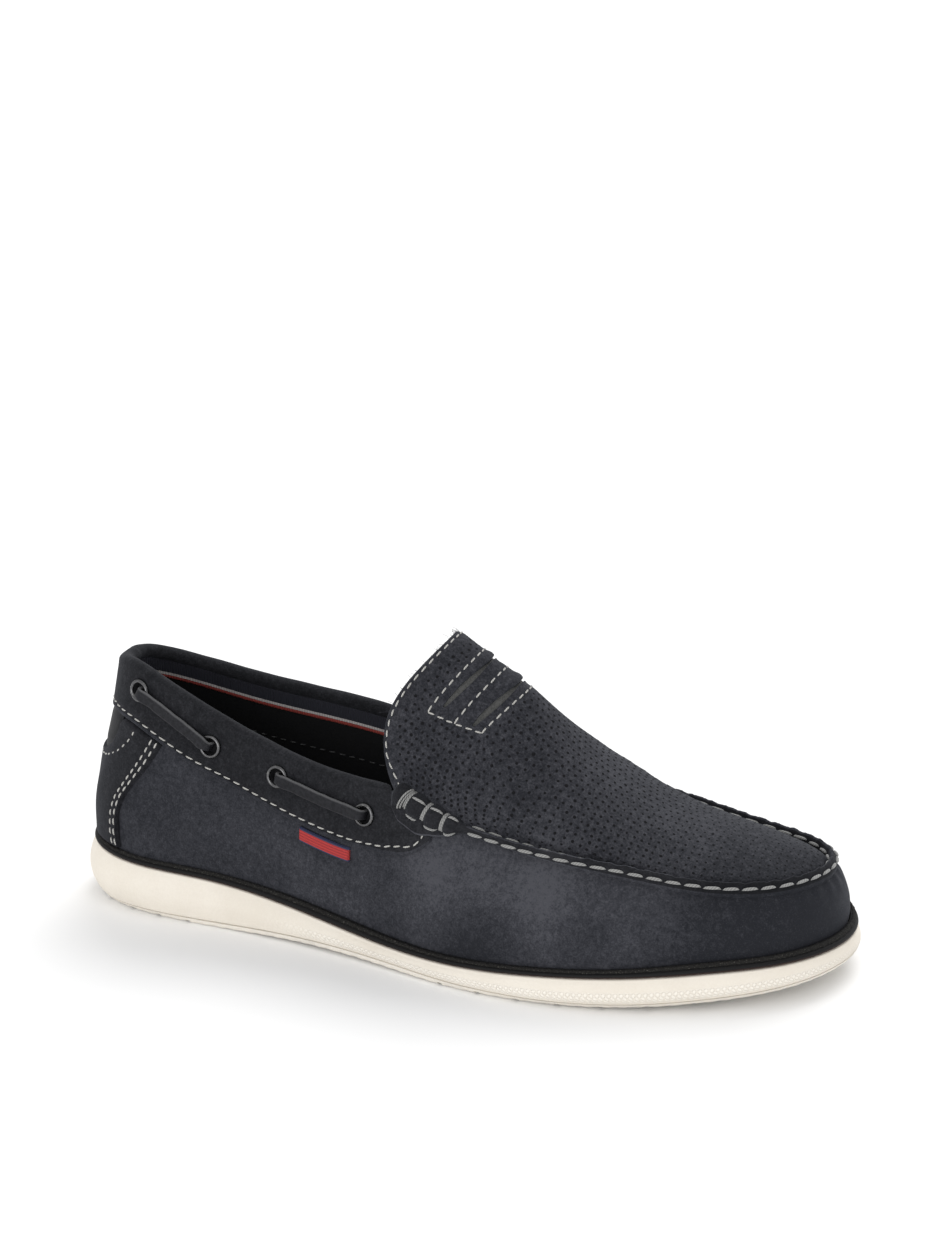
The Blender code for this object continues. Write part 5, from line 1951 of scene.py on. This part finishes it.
@dataclass(frozen=True)
class Lacing(Piece):
    """The eyelets and the flat thongs that pass between each pair."""

    half_wide: float = 2.35
    half_narrow: float = 1.75
    half_thick: float = 0.62
    cup_radius: float = 2.9
    lean: float = 9.0

    def build(self) -> None:
        """Makes every eyelet and thong on both sides."""
        for side, tag in SIDES.items():
            spots = [(float(self.form.place_at(x, side)), drop) for x, drop in EYELET_SPOTS]
            for i, found in enumerate(eyelet_frames(self.form, side)):
                self.eyelet(f"eyelet_{tag}_{i + 1}", *found)
            self.thong(f"thong_{tag}_rear", spots[0], spots[1])
            self.thong(f"thong_{tag}_front", spots[2], spots[3])

    def eyelet(self, node: str, centre: Array, out: Array, along: Array, up: Array) -> None:
        """A rolled ring turned about the bore, over a dark cup.

        Args:
            node: the CAD node that it stands for.
            centre: the bore's centre on the wall.
            out: the bore's axis.
            along: forward across the bore.
            up: upward across the bore.
        """
        profile, spoke = np.array(EYELET_PROFILE), spokes(44, along, up)
        # The ring's faces inside the bore, and the cup below, wear the hole's painted shade.
        in_bore = np.array([1, 1] + [0] * 9 + [1])
        ring = centre + spoke[:, None] * profile[:, :1] + out * profile[:, 1:]
        skin = Skin(f"{node}_ring", [self.finishes.metal, self.finishes.hole], sharp=50)
        skin.tubes(ring, wrap=True, slot=in_bore).build("gunmetal", node)
        cup = np.stack([centre + spoke * self.cup_radius + out * h for h in (0.5, 0.62)])
        Skin(f"{node}_bore", [self.finishes.hole]).tubes(cup).build("lining")

    def thong(self, node: str, first: tuple[float, float], last: tuple[float, float]) -> None:
        """A flat strip that comes up one bore, crosses the band and dips into the next.

        Args:
            node: the CAD node that it stands for.
            first: place and drop of the rear eyelet.
            last: place and drop of the front one.
        """
        form = self.form
        ends = [np.array((s, float(form.t_at_drop(s, drop)))) for s, drop in (first, last)]
        chord = form.wall(*ends[1]) - form.wall(*ends[0])
        near, high = np.array(THONG_PATH).T
        near = near / np.linalg.norm(chord)
        path = np.column_stack([np.concatenate([near, 1 - near[::-1]]), np.concatenate([high, high[::-1]])])
        share, high = hermite(np.linspace(0, 1, len(path)), path, np.linspace(0, 1, 90)).T
        s, t = (a * (1 - share) + b * share for a, b in zip(*ends))
        normal = form.wall_normal(s, t)
        line = form.wall(s, t) + normal * high[:, None]
        across = unit(np.cross(normal, chord))
        thick = unit(np.cross(unit(np.gradient(line, axis=0)), across))
        run = lengths(line)
        bore = np.minimum(run, run[-1] - run)
        wide = self.half_narrow + (self.half_wide - self.half_narrow) * smooth(bore, 2.0, 6.0)
        wide = (wide + 0.10 * ripple(run, (9.0, 5.3), 7))[:, None]
        deep = (self.half_thick * (1 + 0.10 * ripple(run, (7.0, 12.0), 8)))[:, None]
        lean = np.radians(self.lean) * smooth(bore, 3.0, 9.0)[:, None]
        side = across * np.cos(lean) + thick * np.sin(lean)
        face = thick * np.cos(lean) - across * np.sin(lean)
        outline = THONG_HALF_SECTION + tuple((a, -b) for a, b in THONG_HALF_SECTION[::-1])
        ring = np.stack([line + side * wide * a + face * deep * b for a, b in outline], axis=1)
        # The upper cut edge takes the pale cut colour in full and the lower one at 0.3: the raw edge's own
        # paleness, with a painted highlight along the upper edge.
        high_side = np.array([a for a, _ in outline]) * np.sign(across[..., 2].mean())
        edge = smooth(high_side, 0.85, 1.0) + 0.3 * smooth(-high_side, 0.85, 1.0)
        skin = Skin(f"{node}_strip", [self.finishes.thong], sharp=70)
        skin.tubes(ring, edge=edge).build("thong", node)


@dataclass(frozen=True)
class HeelPiece(Piece):
    """The counter round the heel, double stitched at its front edges, and the smooth patch in its top."""

    rows: int = 60
    above_sole: float = 3.9
    under_band: float = 0.3
    under_patch: float = 24.0
    patch_reach: float = 0.1385
    lines: tuple[float, float] = (1.6, 4.1)
    groove: float = 0.22

    def build(self) -> None:
        """Makes the counter, the patch and their stitches."""
        share = np.linspace(0.0, 1.0, self.rows)
        across = np.linspace(-1.0, 1.0, 121)[:, None]
        reach, patch_end = column(COUNTER_FRONT, share), PATCH_LOW[-1][0]
        s, start = across * reach, across * reach[0]
        high = column(BAND_LOW, start) + self.under_band
        high = np.maximum(high, np.where(np.abs(start) < patch_end + 0.002, self.under_patch, 0.0))
        high = np.where(np.abs(start) < patch_end, column(PATCH_LOW, start) + 0.35, high)
        drop = high + (self.form.tall(s)[:, -1:] - self.above_sole - high) * share
        front = (1 - np.abs(across)) * reach * HALF_ROUND
        groove = self.groove * sum(hill(front - at, 0.5) for at in self.lines)
        risen = np.minimum(edge_round(front, 1.0), edge_round(drop - high, 0.9))
        off = 0.5 + (OVERLAY_FAR - 0.5) * risen - groove
        off = off + 0.18 * ripple(s * HALF_ROUND + drop, (31.0, 19.0), 14) * smooth(front, 5, 12)
        skin = Skin("counter", [self.finishes.counter, self.finishes.raw], sharp=70)
        skin.tubes(self.form.sheet(s, drop, off, OVERLAY_NEAR)).build("nubuck", "heel_counter")
        self.patch(patch_end)
        self.stitch()

    def patch(self, end: float) -> None:
        """The smooth patch: a sheet from under the band to under the counter, swollen between.

        Args:
            end: how far it reaches round each side of the heel.
        """
        s = np.linspace(-1.0, 1.0, 81)[:, None] * (end - 0.0004)
        rows = np.linspace(0.0, 1.0, 24)
        top, low = column(BAND_LOW, s), column(PATCH_LOW, s)
        drop = (top - 0.4) * (1 - rows) + (low + 0.3) * rows
        swell = 0.85 + 0.35 * smooth(low - drop, 0.0, 4.0) * smooth(drop - top, 0.0, 3.0)
        skin = Skin("heel_patch", [self.finishes.patch], sharp=70)
        skin.tubes(self.form.sheet(s, drop, swell, 0.35)).build("smooth_leather", "back_patch")

    def stitch(self) -> None:
        """Two lines down each front edge, and one round the patch."""
        skin = Skin("heel_stitch", [self.finishes.thread])
        share = np.linspace(0.0, 0.99, 200)
        edge = column(COUNTER_FRONT, share)
        start = column(BAND_LOW, edge[0]) + self.under_band
        run, face = StitchRun(dash=2.6, gap=1.2, width=0.72), OVERLAY_FAR - 0.1
        for side in SIDES:
            for n, inset in enumerate(self.lines):
                s = side * (edge - inset / HALF_ROUND)
                drop = start + (self.form.tall(s) - self.above_sole - start) * share
                skin.tubes(run.dashes(*self.form.line_on_wall(s, drop, face), 40 + n + side))
        c = np.linspace(-self.patch_reach, self.patch_reach, 300)
        skin.tubes(run.dashes(*self.form.line_on_wall(c, column(PATCH_STITCH, c), face), 47))
        skin.build("thong")


@dataclass(frozen=True)
class Ridge:
    """The pinched seam that stands up round the plug, swollen and whipped with thread at the throat."""

    seam: Seam
    finishes: Finishes
    wraps: tuple[tuple[float, int, float], ...] = ((6.8, 4, 0.55), (14.6, 3, 0.0), (22.1, 3, 0.0))
    neck: float = 28.5
    crest: float = 4.2
    start: float = 0.6
    outer_row: float = 6.55
    inner_row: float = 1.95
    dash: float = 5.65

    def profile(self, a: Array, phi: Array) -> Array:
        """Outward and up offsets at a length along the seam and a share round the section.

        Args:
            a: lengths along the seam.
            phi: twelfths of the way round the closed profile, 0 at the plug's side.

        Returns:
            Two numbers for each place: the ridge's profile, blended into the puff's near the throat, pinched
            under each wrap and swollen a little between stitches.
        """
        knots = np.arange(12) / 12
        thin, fat = (Loop(knots, np.array(table), 1.0)(phi / 12) for table in (RIDGE_PROFILE, PUFF_PROFILE))
        d = np.minimum(a, self.seam.length - a)
        share = (1 - smooth(d, 24.5, 31.0))[..., None]
        pinch = sum(hill(d - at, 1.25) for at, *_ in self.wraps) + 0.6 * hill(d - self.neck, 1.6)
        close = 0.45 + 0.55 * smooth(d, -0.5, 2.5)
        fat = fat * ((1.04 - 0.30 * pinch) * close * (1 - 0.22 * smooth(d, 15.0, 29.0)))[..., None]
        swell = 0.97 + 0.06 * self.seam.pucker(a)
        low = 0.62 + 0.38 * smooth(d, 30.0, 100.0)
        return thin * np.stack([swell, swell * low], axis=-1) * (1 - share) + fat * share

    def surface(self, a: Place, phi: Place, off: Place = 0.0) -> Array:
        """Points on the ridge.

        Args:
            a: lengths along the seam.
            phi: twelfths of the way round its profile.
            off: offsets out from its core.

        Returns:
            Points in millimetres.
        """
        a, phi, off = together(a, phi, off)
        p, up, side = self.seam.at(a)
        xy = self.profile(a, phi)
        xy = xy + unit(xy - np.array((0.2, 0.4))) * off[..., None]
        return p + side * xy[..., :1] + up * xy[..., 1:]

    def line(self, a: Place, phi: Place, off: float) -> tuple[Array, Array]:
        """Points on the ridge, an offset out from its core, and the unit directions out of it."""
        return self.surface(a, phi, off), unit(self.surface(a, phi, 0.5) - self.surface(a, phi))

    def build(self) -> None:
        """Makes the ridge and all of its thread."""
        a = np.linspace(self.start, self.seam.length - self.start, 720)[:, None]
        phi = np.arange(36)[None] / 3
        rough = 0.28 * ripple(a, (7.3, 4.1, 11.9), 21) + 0.13 * ripple(a, (1.9, 1.3, 2.7), 22)
        # Where lit is true, away from the throat, the ridge wears the plain nubuck; everywhere else it wears
        # the darker seam nubuck as painted shade.
        lit = ((phi > 3.3) & (phi < 4.4)) | (phi > 7.4)
        slot = (lit & (np.minimum(a, self.seam.length - a) > self.neck + 2.0))[:-1].astype(int)
        skin = Skin("seam_ridge", [self.finishes.seam, self.finishes.nubuck], sharp=80)
        skin.tubes(self.surface(a, phi, hill(phi - self.crest, 1.08) * rough), slot=slot).build("nubuck")
        self.running_stitch()
        self.whipping()

    def running_stitch(self) -> None:
        """Thick waxed dashes on both faces of the ridge, all round the toe."""
        skin = Skin("seam_stitch", [self.finishes.waxed])
        first, length, pitch = self.seam.first_dash, self.seam.length, Seam.PITCH
        thick = StitchRun(self.dash, pitch - self.dash, width=1.18, height=1.05, slant=0.30, sink=0.35)
        for face, phi, reach in ((0, self.outer_row, 30.5), (1, self.inner_row, 29.0)):
            back, ahead = (int((side - reach) / pitch) for side in (first, length - first))
            a = np.linspace(first - back * pitch - 2.8, first + ahead * pitch + 2.8, 1600)
            phi = phi + 0.25 * face * smooth(a, length * 0.5, length * 0.62)
            skin.tubes(thick.dashes(*self.line(a, phi, 0.40 - 0.20 * face), 60 + face))
        skin.build("thong")

    def whipping(self) -> None:
        """Bars of thread over the puffs, splayed to a knot at the throat, and the dashes between them."""
        skin = Skin("whipping", [self.finishes.waxed])
        over, foot = np.linspace(8.4, 1.0, 40), np.linspace(1.0, 0.0, 40)
        dash = StitchRun(dash=4.6, gap=0.8, width=1.0, height=0.9, sink=0.3)
        stops = [at for at, *_ in self.wraps] + [self.neck]
        for mirrored in (False, True):
            for at, strands, splay in self.wraps:
                for k in range(strands):
                    d = at + (k - (strands - 1) / 2) * (0.40 + splay * foot) - 1.6 * splay * foot
                    skin.tubes(cord_sections(*self.line(self.from_throat(d, mirrored), over, 0.24), 0.34))
            for first, last in zip(stops[:-1], stops[1:]):
                a = self.from_throat(np.linspace(first + 1.2, last - 0.8, 30), mirrored)
                for phi in (7.25, 3.7):
                    skin.tubes(dash.dashes(*self.line(a, phi, 0.12), 70))
        skin.build("thong")

    def from_throat(self, d: Array, mirrored: bool) -> Array:
        """Lengths along the seam at distances from the outer throat, or from the inner one."""
        return self.seam.length - d if mirrored else d


@dataclass(frozen=True)
class ThroatLip(Piece):
    """The rounded corner of the plug's leather that lies over the band beside each throat."""

    first: float = 0.4470
    corner: float = 0.4575
    last: float = 0.5190
    rows: int = 22

    def build(self) -> None:
        """A sheet that rounds off at its front, lower and rear edges."""
        skin = Skin("throat_lips", [self.finishes.collar, self.finishes.rubbed], sharp=70)
        front, rear = np.linspace(self.first, self.corner, 24), np.linspace(self.corner, self.last, 60)
        c = np.concatenate([front[:-1], rear])[:, None]
        low = column(LIP_LOW, c)
        drop = low * np.linspace(0.0, 1.0, self.rows)
        ease = np.minimum(edge_round(low - drop, 0.9), edge_round((c - self.first) * HALF_ROUND, 0.9))
        base = hermite((self.first, 0.480, 0.497, self.last), ((1.95,), (1.95,), (0.9,), (0.1,)), c)[..., 0]
        rung, row = np.arange(2 * self.rows), np.arange(len(c) - 1)[:, None]
        cut = (rung < self.rows) & ((rung > self.rows - 4) | (row < 5))
        for side in SIDES:
            s = self.form.near_throat(c, side)
            skin.tubes(self.form.sheet(s, drop, base + 0.20 + 1.25 * ease, base - 0.1), slot=cut.astype(int))
        skin.build("nubuck")


@dataclass(frozen=True)
class TongueStitch(Piece):
    """The pale stitches on the tongue: one inside its edge, and the panel's three lines and two sides."""

    plug: Plug
    edge_in: float = 1.9
    edge_turn: float = 3.6
    lines: tuple[tuple[float, float], ...] = ((0.920, -0.006), (0.853, -0.010), (0.782, 0.000))
    bow_at: float = 0.49

    def build(self) -> None:
        """Lays the dashes along each line."""
        skin = Skin("tongue_stitch", [self.finishes.thread])
        run = StitchRun(dash=2.75, gap=1.05)
        v = np.linspace(-0.998, 0.998, 700)
        inside = self.edge_in + self.edge_turn * smooth(np.abs(v), 0.80, 0.975)
        skin.tubes(run.dashes(*self.placed(1.0 - inside / self.form.tongue_span(v), v), 80))
        corners = []
        for n, (middle, bow) in enumerate(self.lines):
            side = float(self.plug.panel_side(middle + bow))
            v = np.linspace(-side, side, 300)
            q = middle + bow * (v / self.bow_at) ** 2
            corners.append((q[-1], side))
            skin.tubes(run.dashes(*self.placed(q, v), 81 + n))
        for side in SIDES:
            q, v = hermite(np.linspace(0, 1, 3), np.array(corners), np.linspace(0.0, 1.0, 100)).T
            skin.tubes(run.dashes(*self.placed(q, v * side), 90 + side))
        skin.build("thong")

    def placed(self, q: Array, v: Array) -> tuple[Array, Array]:
        """Points on the plug's face and the normals there."""
        return self.form.line_on_plug(q, v, self.plug.lift(q, v) + 0.03)


@dataclass(frozen=True)
class SideTab(Piece):
    """A plain folded loop of woven tape caught under the band on the outer side."""

    rear: float = 0.338
    front: float = 0.3985
    wide: float = 5.4
    selvedge: float = 0.75

    def build(self) -> None:
        """A soft flat sheet with rounded edges and a selvedge along both long sides."""
        s = np.linspace(self.rear, self.front, 60)[:, None]
        share = np.linspace(0.0, 1.0, 17)
        drop = column(BAND_LOW, s) + 0.7 + self.wide * share
        across = np.minimum(share, 1 - share) * self.wide
        ends = np.minimum(s - self.rear, self.front - s) * HALF_ROUND
        off = 0.45 + 1.15 * np.minimum(edge_round(across, 0.6), 0.55 + 0.45 * edge_round(ends, 1.2))
        selvedge = (slab(across[:, None], across[:, None])[:, 0] < self.selvedge).astype(float)
        skin = Skin("woven_tab", [self.finishes.woven], sharp=70)
        skin.tubes(self.form.sheet(s, drop, off, 0.35), selvedge=selvedge).build("woven_tab", "side_tab")


# --- light, floor and camera -------------------------------------------------------------------------------


@dataclass(frozen=True)
class Viewpoint:
    """A camera given by the direction it looks from and where its aim lands in the frame."""

    azimuth: float = 24.8
    elevation: float = 21.6
    roll: float = -1.6
    distance: float = 1200.0
    aim: tuple[float, float, float] = (149.0, 0.0, 35.0)
    wide: float = 950.0
    tall: float = 1234.0
    focal: float = 3302.0
    lands: tuple[float, float] = (453.8, 836.4)
    sensor: float = 36.0

    def place(self) -> None:
        """Turns the camera towards the aim, rolls it, then pans and tilts it until the aim lands as asked."""
        a, e, r = (math.radians(x) for x in (self.azimuth, self.elevation, self.roll))
        back = np.array((math.sin(a) * math.cos(e), -math.cos(a) * math.cos(e), math.sin(e)))
        spot = (np.array(self.aim) + back * self.distance - DATUM) * MM
        right = np.array((math.cos(a), math.sin(a), 0.0))
        up = np.cross(back, right)
        right, up = math.cos(r) * right + math.sin(r) * up, math.cos(r) * up - math.sin(r) * right
        pan = math.atan((self.lands[0] - self.wide / 2) / self.focal)
        tilt = math.atan((self.tall / 2 - self.lands[1]) / self.focal * math.cos(pan))
        right, back = self.turned(right, up, pan), self.turned(back, up, pan)
        up, back = self.turned(up, right, -tilt), self.turned(back, right, -tilt)
        data = bpy.data.cameras.new("viewpoint")
        data.sensor_fit, data.sensor_width = "AUTO", self.sensor
        data.lens = self.focal / self.tall * self.sensor
        data.clip_start, data.clip_end = 0.05, 60.0
        camera = linked("viewpoint", data)
        camera.matrix_world = axes_at(right, up, back, spot)
        bpy.context.scene.camera = camera

    def turned(self, vector: Array, axis: Array, angle: float) -> Array:
        """A vector turned about an axis."""
        along = axis * np.dot(axis, vector) * (1 - math.cos(angle))
        return vector * math.cos(angle) + np.cross(axis, vector) * math.sin(angle) + along


@dataclass(frozen=True)
class Studio:
    """A pale floor under an even sky, a broad soft lamp overhead and a soft box before the shoe."""

    sky: float = 0.88
    floor: float = 9.0
    overhead: float = 1.45
    overhead_angle: float = 42.0
    front: float = 5.2
    front_size: float = 0.8

    def build(self) -> None:
        """Makes the floor, the lights and the sky."""
        g = Graph("pale_floor")
        colour = g.mix(g.noise(60.0, 3.0, 0.5), (0.92, 0.92, 0.92), (0.94, 0.94, 0.94))
        mesh, x = bpy.data.meshes.new("floor"), self.floor
        mesh.from_pydata([(-x, -x, 0.0), (x, -x, 0.0), (x, x, 0.0), (-x, x, 0.0)], [], [(0, 1, 2, 3)])
        mesh.materials.append(g.done(Base_Color=colour, Roughness=0.9, Specular_IOR_Level=0.1))
        linked("floor", mesh)
        world = bpy.data.worlds.new("sky")
        world.use_nodes = True
        sky = world.node_tree.nodes["Background"].inputs
        sky["Color"].default_value = (1.0, 1.0, 1.0, 1.0)
        sky["Strength"].default_value = self.sky
        bpy.context.scene.world = world
        broad = bpy.data.lights.new("overhead", "SUN")
        broad.energy, broad.angle = self.overhead, math.radians(self.overhead_angle)
        self.hang(broad, (0.03, 0.85, 1.0), (0.0, 0.0, 0.0))
        box = bpy.data.lights.new("front_box", "AREA")
        box.shape, box.size, box.energy = "SQUARE", self.front_size, self.front
        self.hang(box, (0.0, -1.25, 0.36), (0.0, 0.0, 0.03))

    def hang(self, data: bpy.types.Light, spot: tuple[float, ...], aim: tuple[float, ...]) -> None:
        """Hangs a lamp at a spot in metres, turned to face a point."""
        back = unit(np.array(spot) - np.array(aim))
        right = unit(np.cross((0.0, 0.0, 1.0), back))
        linked(data.name, data).matrix_world = axes_at(right, np.cross(back, right), back, spot)


def main() -> None:
    """Builds the camera and the studio, then every piece from the sole up."""
    logging.basicConfig(level=logging.INFO, format="%(name)s %(message)s")
    Viewpoint().place()
    Studio().build()
    bpy.context.scene.view_settings.view_transform = "Standard"
    form, finishes = ShoeForm(), Finishes()
    seam, plug = Seam(form), Plug(form, finishes)
    pieces = (
        Sole(form, finishes),
        Rand(form, finishes),
        Wall(form, finishes, seam),
        plug,
        Collar(form, finishes),
        Lacing(form, finishes),
        HeelPiece(form, finishes),
        Ridge(seam, finishes),
        ThroatLip(form, finishes),
        TongueStitch(form, finishes, plug),
        SideTab(form, finishes),
    )
    for piece in pieces:
        piece.build()


if __name__ == "__main__":
    main()
